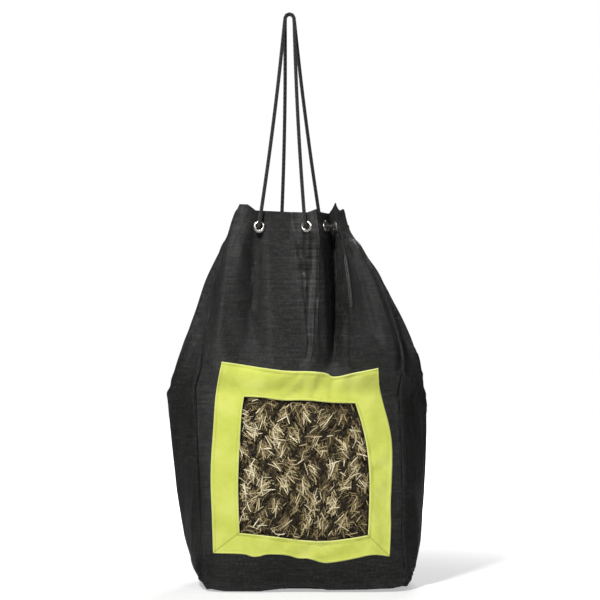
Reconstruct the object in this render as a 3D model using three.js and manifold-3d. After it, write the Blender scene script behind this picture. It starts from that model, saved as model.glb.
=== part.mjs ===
// Drawstring hay bag with a netted feeding window, hung from its own cord and filled with hay.
//
// Frame: millimetres, +Z up. The origin is on the underside of the base. -Y is the front, with the window.
// "left" and "right" are the viewer's, looking at the front.
//
// The cloth is one surface, cloth(u, z): u runs round the bag along the flat fabric, from the middle of
// the front panel towards +X, and z is the height. Below the shoulder each section is a rounded box whose
// girth is the sewn girth of the panels. Above it the section draws in to a folded ring, which the cord
// gathers.

import * as THREE from "three";
import { mergeVertices } from "three/addons/utils/BufferGeometryUtils.js";
import Module from "manifold-3d";

const wasm = await Module();
wasm.setup();

// ---------------------------------------------------------------- driving dimensions

const PANEL_WIDTH = 380;
const GUSSET_WIDTH = 180;
const GIRTH = 2 * (PANEL_WIDTH + GUSSET_WIDTH);
const SEAM = { frontRight: PANEL_WIDTH / 2, backRight: PANEL_WIDTH / 2 + GUSSET_WIDTH };
SEAM.backLeft = GIRTH - SEAM.backRight;
SEAM.frontLeft = GIRTH - SEAM.frontRight;

const CLOTH = 2; // woven fabric with its coating and seam allowance
const HEM = 3; // the fabric folded double at the mouth
const GAP = 0.4; // clearance between neighbouring pieces
const SEAM_GAP = 1.1; // how far each panel's edge stands back from its seam line

const SHOULDER_Z = 400; // the fill holds the bag open up to here
const HEM_BASE_Z = 645;
const EYELET_Z = 669;
const MOUTH_Z = 697;
const HAY_TOP_Z = 520;

const NECK_X = -16; // the mouth and the hanging point sit a little to the left of the base
const NECK_TAPER = 0.0024; // share by which the gathered ring narrows for each millimetre of height

const CORD_R = 3.4;
const EYELET = { hole: 5.8, barrel: 6.8, flange: 11.4, flangeThick: 1.7, washerThick: 1.2 };

const HOOK = { x: -14, topZ: 1073, bendR: 8.5, apart: 3.9 }; // the two cord loops share one hook

const WINDOW = { left: -110, right: 112, bottom: 100, top: 347 }; // u and z of the opening in the trim
const TRIM = { left: -165, right: 168, bottom: 58, top: 413, thick: 1.6 };
const TUCK = 12; // how far the panel's cut edge stands back behind the trim
const MESH = { across: 37, up: 61.75, twine: 3 };

// Height, left and right reach, and squareness of the filled part's sections. 2 is an ellipse.
const STATIONS = [
  [0, -172, 204, 8],
  [27, -185, 215, 5],
  [93, -207, 229, 3.2],
  [176, -221, 236, 2.7],
  [282, -232, 240, 2.4],
  [370, -241, 241, 2.2],
  [SHOULDER_Z, -228, 237, 2.2],
];

// The folded ring at eyelet height, seen from above and measured from the neck's axis, with the place of
// each fold along the fabric. The front and back have a flat stretch each, where the hanging loops leave.
const RING = [
  [-190, -108, -42],
  [-176, -99, -54],
  [-160, -80, -61.5],
  [-76, 4, -61.5],
  [-22, 55, -80],
  [50, 81, -34],
  [120, 93, -71],
  [190, 112, -27.5],
  [370, 102, 25.5],
  [450, 90, 63.5],
  [640, -40, 63.5],
  [665, -57, 78],
  [690, -74, 55],
  [715, -86, 66],
  [750, -99, 25],
  [930, -108, -42],
];

// Eyelets, in order round the mouth from the front left: which fold line of RING they follow, and how far
// along.
const EYELETS = [
  [2, 0.31],
  [3, 0.576],
  [4, 0.58],
  [5, 0.48],
  [7, 0.7],
  [8, 0.5],
  [9, 0.215],
  [9, 0.8],
  [13, 0.5],
  [14, 0.22],
];

// ---------------------------------------------------------------- the cloth surface

const wrapU = (u) => ((((u - RING[0][0]) % GIRTH) + GIRTH) % GIRTH) + RING[0][0];

function stationAt(z) {
  const i = Math.min(STATIONS.findIndex((s) => s[0] > z), STATIONS.length - 1);
  const [a, b] = i < 1 ? STATIONS.slice(-2) : [STATIONS[i - 1], STATIONS[i]];
  const t = Math.min(1, Math.max(0, (z - a[0]) / (b[0] - a[0])));
  return a.map((v, k) => v + (b[k] - v) * t);
}

function roundedBox(halfWidth, halfDepth, squareness) {
  const steps = 720;
  const power = 2 / squareness;
  const bend = (v) => Math.sign(v) * Math.abs(v) ** power;
  const points = [];
  for (let i = 0; i <= steps; i++) {
    const t = (i / steps) * 2 * Math.PI - Math.PI / 2;
    points.push(new THREE.Vector2(halfWidth * bend(Math.cos(t)), halfDepth * bend(Math.sin(t))));
  }
  const lengths = [0];
  for (let i = 1; i <= steps; i++) lengths.push(lengths[i - 1] + points[i].distanceTo(points[i - 1]));
  return { points, lengths };
}

// The section at height z whose girth is the panels' girth: its depth follows from its width.
const sectionCache = new Map();
function section(z) {
  const key = z.toFixed(3);
  if (sectionCache.has(key)) return sectionCache.get(key);
  const [, left, right, squareness] = stationAt(z);
  const halfWidth = (right - left) / 2;
  let low = 10;
  let high = 250;
  let made;
  for (let i = 0; i < 30; i++) {
    const depth = (low + high) / 2;
    made = roundedBox(halfWidth, depth, squareness);
    if (made.lengths.at(-1) > GIRTH) high = depth;
    else low = depth;
  }
  const found = { ...made, centre: (left + right) / 2 };
  sectionCache.set(key, found);
  return found;
}

function filled(u, z) {
  const { points, lengths, centre } = section(z);
  const want = ((((u % GIRTH) + GIRTH) % GIRTH) / GIRTH) * lengths.at(-1);
  let low = 0;
  let high = lengths.length - 1;
  while (high - low > 1) {
    const mid = (low + high) >> 1;
    if (lengths[mid] > want) high = mid;
    else low = mid;
  }
  const t = (want - lengths[low]) / (lengths[high] - lengths[low] || 1);
  return points[low].clone().lerp(points[high], t).add(new THREE.Vector2(centre, 0));
}

const taper = (z) => 1 - NECK_TAPER * (z - EYELET_Z);

function gathered(u, z) {
  const at = wrapU(u);
  const i = Math.max(1, RING.findIndex((r) => r[0] >= at));
  const [a, b] = [RING[i - 1], RING[i]];
  const t = (at - a[0]) / (b[0] - a[0]);
  const k = taper(z);
  return new THREE.Vector2(NECK_X + k * (a[1] + (b[1] - a[1]) * t), k * (a[2] + (b[2] - a[2]) * t));
}

function cloth(u, z) {
  const draw = Math.min(1, Math.max(0, (z - SHOULDER_Z) / (HEM_BASE_Z - SHOULDER_Z)));
  const wide = filled(u, Math.min(z, SHOULDER_Z));
  const p = draw > 0 ? wide.lerp(gathered(u, z), draw) : wide;
  return new THREE.Vector3(p.x, p.y, z);
}

// A point that stands a distance out from the cloth, with folds mitred so flat stretches stay parallel.
function standing(u, z, out) {
  const here = cloth(u, z);
  const up = cloth(u, z + 1).sub(cloth(u, z - 1));
  const before = here.clone().sub(cloth(u - 1, z)).cross(up).normalize();
  const after = cloth(u + 1, z).sub(here).cross(up).normalize();
  const normal = before.clone().add(after).normalize();
  return here.addScaledVector(normal, out / Math.max(0.5, normal.dot(before)));
}

// ---------------------------------------------------------------- solids

function solidFrom(geometry) {
  const bare = geometry.clone();
  bare.deleteAttribute("normal");
  bare.deleteAttribute("uv");
  const merged = mergeVertices(bare, 1e-4);
  return new wasm.Manifold(
    new wasm.Mesh({
      numProp: 3,
      vertProperties: merged.attributes.position.array,
      triVerts: new Uint32Array(merged.index.array),
    }),
  );
}

function geometryFrom(solid) {
  const mesh = solid.getMesh();
  const flat = new THREE.BufferGeometry();
  flat.setAttribute("position", new THREE.BufferAttribute(mesh.vertProperties, 3));
  flat.setIndex(new THREE.BufferAttribute(mesh.triVerts, 1));
  const made = flat.toNonIndexed();
  made.computeVertexNormals();
  return made;
}

const largest = (solid) => solid.decompose().sort((a, b) => b.volume() - a.volume())[0];

// A sheet that follows the cloth between two distances from it.
function sheet(us, zs, inner, outer) {
  const rows = [inner, outer].map((out) => zs.map((z) => us.map((u) => standing(u, z, out))));
  const points = rows.flat(2).flatMap((p) => [p.x, p.y, p.z]);
  const across = us.length;
  const at = (side, j, i) => (side * zs.length + j) * across + i;
  const faces = [];
  const quad = (a, b, c, d) => faces.push(a, b, c, a, c, d);
  for (let j = 0; j + 1 < zs.length; j++) {
    for (let i = 0; i + 1 < across; i++) {
      quad(at(1, j, i), at(1, j, i + 1), at(1, j + 1, i + 1), at(1, j + 1, i));
      quad(at(0, j, i), at(0, j + 1, i), at(0, j + 1, i + 1), at(0, j, i + 1));
    }
    quad(at(0, j, 0), at(1, j, 0), at(1, j + 1, 0), at(0, j + 1, 0));
    quad(at(0, j, across - 1), at(0, j + 1, across - 1), at(1, j + 1, across - 1), at(1, j, across - 1));
  }
  const top = zs.length - 1;
  for (let i = 0; i + 1 < across; i++) {
    quad(at(0, 0, i), at(0, 0, i + 1), at(1, 0, i + 1), at(1, 0, i));
    quad(at(0, top, i), at(1, top, i), at(1, top, i + 1), at(0, top, i + 1));
  }
  const made = new THREE.BufferGeometry();
  made.setAttribute("position", new THREE.Float32BufferAttribute(points, 3));
  made.setIndex(faces);
  return made;
}

const onFront = ([u, z]) => {
  const p = cloth(u, z);
  return new THREE.Vector2(p.x, p.z);
};

// A block that runs through the front of the bag, with an outline given in u and z.
function throughFront(outline) {
  const shape = new THREE.Shape(outline.map(onFront));
  const block = new THREE.ExtrudeGeometry(shape, { depth: 260, bevelEnabled: false });
  block.rotateX(Math.PI / 2); // the shape's y becomes z, and the block runs towards -y
  return solidFrom(block);
}

const along = (a, b, pieces) =>
  Array.from({ length: pieces }, (_, i) => a.map((v, k) => v + ((b[k] - v) * i) / pieces));

const box = ({ left, right, bottom, top }) => [
  ...along([left, bottom], [right, bottom], 6),
  ...along([right, bottom], [right, top], 6),
  ...along([right, top], [left, top], 6),
  ...along([left, top], [left, bottom], 6),
];

function tube(points, sides = 10, stepMm = 9) {
  const curve = new THREE.CatmullRomCurve3(points, false, "centripetal");
  const ring = new THREE.Shape();
  ring.absarc(0, 0, CORD_R, 0, 2 * Math.PI);
  const steps = Math.max(2, Math.round(curve.getLength() / stepMm));
  return new THREE.ExtrudeGeometry(ring, { steps, extrudePath: curve, curveSegments: sides });
}

// ---------------------------------------------------------------- eyelet places

// The middle, outward direction and fold direction of an eyelet on the outer face of the hem.
function eyeletSeat([fold, share]) {
  const [a, b] = [RING[fold], RING[fold + 1]];
  const x = a[1] + (b[1] - a[1]) * share;
  const y = a[2] + (b[2] - a[2]) * share;
  const alongFold = new THREE.Vector3(b[1] - a[1], b[2] - a[2], 0).normalize();
  const up = new THREE.Vector3(-NECK_TAPER * x, -NECK_TAPER * y, 1);
  return {
    at: new THREE.Vector3(NECK_X + x, y, EYELET_Z),
    out: alongFold.clone().cross(up).normalize(),
  };
}

const seats = EYELETS.map(eyeletSeat);
const off = (seat, distance) => seat.at.clone().addScaledVector(seat.out, distance);
const facing = (seat) => new THREE.Quaternion().setFromUnitVectors(new THREE.Vector3(0, 1, 0), seat.out);

// ---------------------------------------------------------------- pieces

const look = (color, roughness, metalness = 0) =>
  new THREE.MeshStandardMaterial({ color, roughness, metalness });
const MATERIALS = {
  fabric: look(0x2b2b2d, 0.85),
  trim: look(0xcbd94f, 0.7),
  net: look(0x1c1a18, 0.8),
  cord: look(0x0c0c0d, 0.75),
  metal: look(0xb9b6b0, 0.3, 1),
  hay: look(0x9c8a5c, 0.95),
};

const bag = new THREE.Group();

function add(name, geometry, material, quaternion, position) {
  const mesh = new THREE.Mesh(geometry, MATERIALS[material]);
  mesh.name = name;
  if (quaternion) mesh.quaternion.copy(quaternion);
  if (position) mesh.position.copy(position);
  bag.add(mesh);
}

const WALL_ZS = [CLOTH + 2 * GAP, 27, 93, 176, 282, 370, 400, 470, 540, 600, HEM_BASE_Z - SEAM_GAP];
const HEM_ZS = [HEM_BASE_Z + SEAM_GAP, MOUTH_Z];
const FRONT_US = [-190, -176, -160, -118, -76, -50, -22, 14, 50, 85, 120, 155, 190];
const RIGHT_US = [190, 220, 250, 280, 310, 340, 370];
const BACK_US = [370, 410, 450, 495, 545, 595, 640, 665, 690, 715, 750];
const LEFT_US = RIGHT_US.map((u) => GIRTH - u).reverse();

function trimmed(us, gap = SEAM_GAP) {
  return us.map((u, i) => (i === 0 ? u + gap : i === us.length - 1 ? u - gap : u));
}

function addWalls() {
  const cut = { left: -TUCK, right: TUCK, bottom: -TUCK, top: TUCK };
  for (const side in cut) cut[side] += WINDOW[side];
  const front = solidFrom(sheet(trimmed(FRONT_US), WALL_ZS, -CLOTH, 0)).subtract(throughFront(box(cut)));
  add("front_panel", geometryFrom(front), "fabric");
  add("back_panel", sheet(trimmed(BACK_US), WALL_ZS, -CLOTH, 0), "fabric");
  add("left_gusset", sheet(trimmed(LEFT_US), WALL_ZS, -CLOTH, 0), "fabric");
  add("right_gusset", sheet(trimmed(RIGHT_US), WALL_ZS, -CLOTH, 0), "fabric");
}

// The places of every corner once round the bag, without repeats.
function allRound() {
  const us = [...FRONT_US, ...RIGHT_US, ...BACK_US, ...LEFT_US];
  return us.filter((u, i) => u !== us[i - 1]).slice(0, -1);
}

function addBase() {
  const outline = allRound();
  const shape = new THREE.Shape(outline.map((u) => new THREE.Vector2().copy(cloth(u, 0))));
  add("base_panel", new THREE.ExtrudeGeometry(shape, { depth: CLOTH, bevelEnabled: false }), "fabric");
}

function addHems() {
  const drills = seats.map((seat) => {
    const drill = new THREE.CylinderGeometry(EYELET.barrel + GAP, EYELET.barrel + GAP, 24, 20);
    drill.applyQuaternion(facing(seat)).translate(...seat.at.toArray());
    return solidFrom(drill);
  });
  // Only the folds need corners here, because the hem's stretches are flat.
  const folds = (from, to) => RING.map((r) => r[0]).filter((u) => u >= from && u <= to);
  const runs = {
    front_hem: [-190, 190],
    right_hem: [190, 370],
    back_hem: [370, 750],
    left_hem: [750, 930],
  };
  for (const [name, [from, to]] of Object.entries(runs)) {
    let band = solidFrom(sheet(trimmed(folds(from, to), HEM), HEM_ZS, -HEM, 0));
    for (const drill of drills) band = band.subtract(drill);
    add(name, geometryFrom(largest(band)), "fabric");
  }
}

// The frame of trim is four strips that meet in mitres at the corners.
function addTrim() {
  const face = solidFrom(sheet(trimmed(FRONT_US), WALL_ZS, GAP, GAP + TRIM.thick));
  const g = GAP / 2;
  // For each side, the corners it runs between, anticlockwise, and its shift away from the window's middle.
  const sides = {
    trim_bottom: { from: ["left", "bottom"], to: ["right", "bottom"], shift: [0, -g] },
    trim_right: { from: ["right", "bottom"], to: ["right", "top"], shift: [g, 0] },
    trim_top: { from: ["right", "top"], to: ["left", "top"], shift: [0, g] },
    trim_left: { from: ["left", "top"], to: ["left", "bottom"], shift: [-g, 0] },
  };
  for (const [name, { from, to, shift }] of Object.entries(sides)) {
    const corner = (frame, [x, z]) => [frame[x] + shift[0], frame[z] + shift[1]];
    const [a, b] = [corner(TRIM, from), corner(TRIM, to)];
    const [c, d] = [corner(WINDOW, to), corner(WINDOW, from)];
    const strip = face.intersect(throughFront([...along(a, b, 6), b, ...along(c, d, 6), d]));
    add(name, geometryFrom(strip), "trim");
  }
}

// Knotted netting: a sheet with a diamond left open in each mesh, and its border held behind the trim.
function addNet() {
  const border = TUCK - 4;
  const outline = box({
    left: WINDOW.left - border,
    right: WINDOW.right + border,
    bottom: WINDOW.bottom - border,
    top: WINDOW.top + border,
  });
  const clamp = THREE.MathUtils.clamp;
  const reachU = MESH.across / 2 - MESH.twine * 0.65;
  const reachZ = MESH.up / 2 - MESH.twine * 0.8;
  const holes = [];
  for (let row = 0; WINDOW.bottom + (row * MESH.up) / 2 <= WINDOW.top + 1; row++) {
    for (let u = WINDOW.left + ((row % 2) * MESH.across) / 2; u <= WINDOW.right + 1; u += MESH.across) {
      const z = WINDOW.bottom + (row * MESH.up) / 2;
      const corners = [[u - reachU, z], [u, z - reachZ], [u + reachU, z], [u, z + reachZ]].map(([a, b]) => [
        clamp(a, WINDOW.left, WINDOW.right),
        clamp(b, WINDOW.bottom, WINDOW.top),
      ]);
      const kept = corners.filter(([a, b], i) => {
        const [p, q] = [corners.at(i - 1), corners[(i + 1) % 4]];
        return Math.abs((a - p[0]) * (q[1] - b) - (b - p[1]) * (q[0] - a)) > 1;
      });
      if (kept.length > 2) holes.push(kept);
    }
  }
  const layer = solidFrom(sheet(trimmed(FRONT_US), WALL_ZS, 0.2 - CLOTH, -0.2));
  let net = layer.intersect(throughFront(outline));
  for (const hole of holes) net = net.subtract(throughFront(hole));
  add("window_net", geometryFrom(largest(net)), "net");
}

function addEyelets() {
  const lift = GAP;
  const top = lift + EYELET.flangeThick;
  const tail = -HEM - GAP - EYELET.washerThick;
  const grommet = [
    [EYELET.hole, tail],
    [EYELET.barrel, tail],
    [EYELET.barrel, lift],
    [EYELET.flange, lift],
    [EYELET.flange, lift + 0.6],
    [EYELET.flange - 2, top],
    [EYELET.barrel, top],
    [EYELET.hole, top - 0.7],
    [EYELET.hole, tail],
  ];
  const washer = [
    [EYELET.barrel + GAP, tail],
    [EYELET.flange, tail],
    [EYELET.flange, tail + EYELET.washerThick],
    [EYELET.barrel + GAP, tail + EYELET.washerThick],
    [EYELET.barrel + GAP, tail],
  ];
  const turn = (profile) =>
    new THREE.LatheGeometry(profile.map(([r, h]) => new THREE.Vector2(r, h)), 14);
  seats.forEach((seat, i) => {
    const label = String(i + 1).padStart(2, "0");
    add(`eyelet_${label}`, turn(grommet), "metal", facing(seat), seat.at);
    add(`eyelet_washer_${label}`, turn(washer), "metal", facing(seat), seat.at);
  });
}

const LOOP_OUT = 7.6; // how far out of its eyelet a hanging strand turns upwards

// A hanging loop: up from one eyelet, over the hook and down to the next.
function hangingLoop(from, to, y) {
  const left = new THREE.Vector3(HOOK.x - HOOK.bendR, y, HOOK.topZ - CORD_R - HOOK.bendR);
  const right = left.clone().setX(HOOK.x + HOOK.bendR);
  const bow = 3; // the strands hang very slightly slack
  const strand = (low, high) => {
    const mid = low.clone().lerp(high, 0.55);
    mid.x += Math.sign(HOOK.x - low.x) * bow;
    const overlap = high.clone().sub(low).setLength(0.5);
    return solidFrom(tube([low, mid, high.clone().add(overlap)], 8, 95));
  };
  const bend = Array.from({ length: 9 }, (_, i) => {
    const t = Math.PI * (1 - i / 8);
    return new THREE.Vector3(HOOK.x + HOOK.bendR * Math.cos(t), y, left.z + HOOK.bendR * Math.sin(t));
  });
  const low = off(from, LOOP_OUT);
  const high = off(to, LOOP_OUT);
  const whole = strand(low, left).add(solidFrom(tube(bend, 8, 3.4))).add(strand(high, right));
  return geometryFrom(largest(whole));
}

function addDrawstring() {
  const [frontLeft, frontRight, foldA, foldB, right] = seats;
  const [backRightSide, backRight, backLeft, backLeftSide, left] = seats.slice(5);
  add("drawstring_front_loop", hangingLoop(frontLeft, frontRight, -HOOK.apart), "cord");
  add("drawstring_back_loop", hangingLoop(backLeft, backRight, HOOK.apart), "cord");

  const outside = LOOP_OUT - CORD_R - GAP; // the laced cord stops short of the loop's end
  const inside = -HEM - 6.5;
  const part = (a, b, share) => a.clone().lerp(b, share);
  // Between eyelets, the cord crosses on the inside or round the outside. Each crossing is split where
  // the hem it is threaded through can move.
  const lace = (name, points) => add(name, tube(points, 8, 7), "cord");
  const inFL = [off(frontLeft, inside), off(left, inside)];
  const inFR = [off(foldB, inside), off(right, inside)];
  lace("drawstring_front_left", [
    off(frontLeft, outside), off(frontLeft, -2), inFL[0], part(...inFL, 0.45),
  ]);
  lace("drawstring_left", [
    part(...inFL, 0.62), inFL[1], off(left, -2), off(left, 2), off(left, 7.5),
    part(off(left, 11), off(backLeftSide, 11), 0.2), part(off(left, 11), off(backLeftSide, 11), 0.48),
  ]);
  lace("drawstring_back_left", [
    part(off(left, 11), off(backLeftSide, 11), 0.72), off(backLeftSide, 7.5), off(backLeftSide, 2),
    off(backLeftSide, -2), off(backLeftSide, inside), off(backLeft, inside), off(backLeft, -2),
    off(backLeft, outside),
  ]);
  lace("drawstring_front_right", [
    off(frontRight, outside), off(frontRight, -2), off(frontRight, inside), off(foldA, inside),
    off(foldA, -2), off(foldA, 3), off(foldB, 3), off(foldB, -2), inFR[0], part(...inFR, 0.3),
  ]);
  lace("drawstring_right", [
    part(...inFR, 0.5), inFR[1], off(right, -2), off(right, 2), off(right, 7.5),
    part(off(right, 11), off(backRightSide, 11), 0.2), part(off(right, 11), off(backRightSide, 11), 0.45),
  ]);
  lace("drawstring_back_right", [
    part(off(right, 11), off(backRightSide, 11), 0.7), off(backRightSide, 7.5), off(backRightSide, 2),
    off(backRightSide, -2), off(backRightSide, inside), off(backRight, inside), off(backRight, -2),
    off(backRight, outside),
  ]);
}

// The fill is one lump that keeps clear of the cloth, with a domed top.
function addHay() {
  const us = allRound();
  const inset = -CLOTH - 1.6;
  const heights = [CLOTH + 1.2, 27, 93, 176, 282, 370, 400, 470];
  const rows = heights.map((z) => us.map((u) => standing(u, z, inset)));
  const rim = rows.at(-1);
  const middle = new THREE.Vector3(0, 0, HAY_TOP_Z);
  for (const share of [0.35, 0.7]) {
    const height = rim[0].z + (HAY_TOP_Z - rim[0].z) * Math.sin((share * Math.PI) / 2);
    rows.push(rim.map((p) => p.clone().lerp(middle, share).setZ(height)));
  }
  const points = [...rows.flat(), middle, new THREE.Vector3(0, 0, rows[0][0].z)];
  const n = us.length;
  const faces = [];
  for (let i = 0; i < n; i++) {
    const k = (i + 1) % n;
    for (let j = 0; j + 1 < rows.length; j++) {
      const [a, b, c, d] = [j * n + i, j * n + k, (j + 1) * n + k, (j + 1) * n + i];
      faces.push(a, b, c, a, c, d);
    }
    const last = (rows.length - 1) * n;
    faces.push(last + i, last + k, rows.length * n);
    faces.push(k, i, rows.length * n + 1);
  }
  const made = new THREE.BufferGeometry();
  made.setAttribute("position", new THREE.Float32BufferAttribute(points.flatMap((p) => p.toArray()), 3));
  made.setIndex(faces);
  add("hay_fill", made, "hay");
}

addWalls();
addBase();
addHems();
addTrim();
addNet();
addEyelets();
addDrawstring();
addHay();

export default bag;
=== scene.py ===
"""The looks of the drawstring hay bag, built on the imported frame.

Lengths are metres, +Z is up and -Y is the front. The cloth is one surface with two coordinates: s runs round
the bag along the fabric, from the middle of the front panel towards +X, and z is the height. It is kept as a
grid of points, relaxed once by a cloth simulation. Every panel, seam, stitch, strip of trim and net cord is
then laid on that grid.
"""

import math
import random

import bmesh
import bpy
import numpy as np
from mathutils import Matrix, Vector


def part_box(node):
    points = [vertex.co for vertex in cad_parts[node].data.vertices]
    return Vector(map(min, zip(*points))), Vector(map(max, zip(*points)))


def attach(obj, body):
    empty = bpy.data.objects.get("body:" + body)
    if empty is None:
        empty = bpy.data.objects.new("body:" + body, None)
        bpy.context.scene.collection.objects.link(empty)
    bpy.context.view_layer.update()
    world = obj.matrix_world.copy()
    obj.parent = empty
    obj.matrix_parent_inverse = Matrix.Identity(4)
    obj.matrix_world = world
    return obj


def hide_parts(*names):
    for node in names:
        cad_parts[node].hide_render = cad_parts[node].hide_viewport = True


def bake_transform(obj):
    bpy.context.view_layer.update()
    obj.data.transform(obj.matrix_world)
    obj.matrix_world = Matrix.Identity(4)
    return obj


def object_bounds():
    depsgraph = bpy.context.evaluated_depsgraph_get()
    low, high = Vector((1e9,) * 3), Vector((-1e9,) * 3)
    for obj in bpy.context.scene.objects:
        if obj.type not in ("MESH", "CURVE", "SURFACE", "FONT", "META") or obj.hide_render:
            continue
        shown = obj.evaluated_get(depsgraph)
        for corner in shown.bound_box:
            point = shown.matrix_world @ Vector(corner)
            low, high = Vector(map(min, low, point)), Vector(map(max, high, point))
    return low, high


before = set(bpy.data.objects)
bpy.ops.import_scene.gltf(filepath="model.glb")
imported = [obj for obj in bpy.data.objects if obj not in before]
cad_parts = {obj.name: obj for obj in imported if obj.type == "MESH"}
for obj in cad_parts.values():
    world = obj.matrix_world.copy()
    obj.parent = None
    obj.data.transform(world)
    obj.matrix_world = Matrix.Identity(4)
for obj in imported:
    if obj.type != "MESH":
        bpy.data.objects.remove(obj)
CAD_BOX = [list(corner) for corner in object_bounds()]

# ------------------------------------------------------------------ dimensions

PANEL = 0.38
GUSSET = 0.18
GIRTH = 2 * (PANEL + GUSSET)
FRONT_SEAM = PANEL / 2
BACK_SEAM = FRONT_SEAM + GUSSET
SEAMS = [FRONT_SEAM, BACK_SEAM, -BACK_SEAM, -FRONT_SEAM]
SIDE = (PANEL + GUSSET) / 2  # the middle of each gusset, where the front half meets the back half
FABRIC = 0.0011
MOUTH_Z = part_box("front_hem")[1][2]
HEM_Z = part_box("front_hem")[0][2]
EYELET_Z = sum(corner[2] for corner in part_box("eyelet_01")) / 2
SHOULDER_Z = 0.4
GRID_PITCH = 0.0046
NECK_X = -0.016
NECK_TAPER = 2.4  # share by which the gathered ring narrows for each metre of height

# The same narrowing below the hem, for each x across the ring.
FLARE = np.array([(-0.1, 0.9), (-0.04, 0.3), (0.06, 0.3), (0.1, 2.4)])

# Height, left and right reach, and squareness of the filled part's sections. 2 is an ellipse.
STATIONS = np.array([
    (0.000, -0.168, 0.202, 8.0),
    (0.01, -0.18, 0.21, 6.0),
    (0.027, -0.187, 0.216, 5.0),
    (0.093, -0.208, 0.229, 3.2),
    (0.176, -0.221, 0.236, 2.7),
    (0.282, -0.232, 0.24, 2.4),
    (0.35, -0.2385, 0.241, 2.2),
    (0.368, -0.2425, 0.241, 2.2),
    (0.385, -0.232, 0.239, 2.2),
    (0.412, -0.222, 0.236, 2.2),
])

# The gathered ring at eyelet height: place along the fabric, then x and y from the neck's axis.
RING = np.array([
    (-0.19, -0.108, -0.042), (-0.176, -0.099, -0.054), (-0.16, -0.08, -0.0615),
    (-0.076, 0.004, -0.0615), (-0.022, 0.055, -0.08), (0.05, 0.081, -0.034),
    (0.12, 0.093, -0.071), (0.19, 0.112, -0.0275), (0.37, 0.102, 0.0255), (0.45, 0.09, 0.0635),
    (0.64, -0.04, 0.0635), (0.665, -0.057, 0.078), (0.69, -0.074, 0.055),
    (0.715, -0.086, 0.066), (0.75, -0.099, 0.025), (0.93, -0.108, -0.042),
])
UNFOLDED = [0, 2, 3, 7, 8, 9, 10, 14, 15]  # the rows of RING that also hold when the cloth isn't folded

# Eyelets in order round the mouth: the stretch of RING they sit on, and how far along it.
EYELETS = [(2, 0.31), (3, 0.576), (4, 0.58), (5, 0.48), (7, 0.7), (8, 0.5), (9, 0.215), (9, 0.8), (13, 0.5),
           (14, 0.22)]
EYELET_HOLE = 0.0062
EYELET_BODIES = {1: "front_lip", 2: "front_lip", 5: "bag", 7: "back_lip", 8: "back_lip", 10: "bag"}
EYELETS_IN_BEND = {3: "front", 4: "front", 6: "back", 9: "back"}  # where a lip bends away from the bag's side
BEND_LEVELS = (0.715, 0.784)  # the stretch over which a lip bends, measured up a slanting line
BEND_SLANT = 1.9

# Where the gathered cloth folds inwards: start and end along the fabric, number of folds, depth.
TUCKS = [
    (0.19, 0.25, 1, 0.016),
    (0.342, 0.37, 1, 0.012),
    (0.374, 0.396, 1, 0.004),
    (0.424, 0.448, 1, 0.005),
    (0.452, 0.472, 1, 0.005),
    (0.512, 0.578, 2, 0.011),
    (0.622, 0.64, 1, 0.004),
    (0.752, 0.766, 1, 0.01),
    (0.836, 0.884, 1, 0.016),
    (0.886, 0.928, 1, 0.014),
]

# The folds of the front run slantwise down the cloth: place at the mouth, then place at the shoulder.
SLANT = np.array([
    (-0.19, -0.19), (-0.16, -0.158), (-0.134, -0.11), (-0.105, -0.035), (-0.076, 0.022),
    (-0.022, 0.028), (0.05, 0.062), (0.12, 0.092), (0.19, 0.19),
])

# Which way the cloth faces: place along the fabric, and degrees from the front.
FACING = np.array([
    (-0.19, -24), (-0.13, -6), (0.13, 6), (0.19, 24), (0.28, 90), (0.37, 140), (0.43, 172),
    (0.69, 188), (0.75, 220), (0.84, 270), (0.93, 336),
])

# Soft folds that hang from the mouth: place and height of the upper end, of the lower end, width and depth.
# A negative depth is a hollow.
DRAPES = [
    ((-0.14, 0.665), (-0.124, 0.39), 0.014, -0.029),
    ((-0.172, 0.65), (-0.16, 0.4), 0.016, 0.016),
    ((-0.12, 0.66), (-0.1, 0.42), 0.016, 0.005),
    ((-0.076, 0.7), (-0.05, 0.54), 0.005, -0.004),
    ((-0.043, 0.64), (-0.074, 0.43), 0.004, -0.0045),
    ((-0.056, 0.65), (-0.074, 0.42), 0.01, -0.009),
    ((-0.02, 0.64), (-0.016, 0.4), 0.014, 0.007),
    ((0.04, 0.65), (0.052, 0.375), 0.034, -0.033),
    ((0.186, 0.62), (0.18, 0.39), 0.034, 0.025),
    ((0.122, 0.64), (0.12, 0.44), 0.014, 0.006),
    ((0.15, 0.64), (0.152, 0.44), 0.01, -0.006),
    ((0.17, 0.63), (0.176, 0.45), 0.008, 0.004),
    ((0.225, 0.64), (0.235, 0.42), 0.013, -0.009),
    ((0.262, 0.655), (0.266, 0.54), 0.05, 0.0105),
    ((0.3, 0.64), (0.3, 0.41), 0.014, -0.009),
    ((0.345, 0.6), (0.338, 0.42), 0.012, 0.005),
    ((0.47, 0.64), (0.44, 0.43), 0.014, 0.006),
    ((0.51, 0.64), (0.5, 0.42), 0.012, -0.009),
    ((0.56, 0.64), (0.54, 0.42), 0.02, 0.007),
    ((0.6, 0.64), (0.588, 0.43), 0.013, -0.01),
    ((0.69, 0.64), (0.715, 0.42), 0.014, -0.011),
    ((0.8, 0.64), (0.815, 0.4), 0.014, -0.009),
    ((0.845, 0.64), (0.848, 0.44), 0.01, 0.005),
    ((0.885, 0.64), (0.888, 0.42), 0.012, -0.008),
    ((0.852, 0.66), (0.848, 0.53), 0.06, 0.0075),
]

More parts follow.
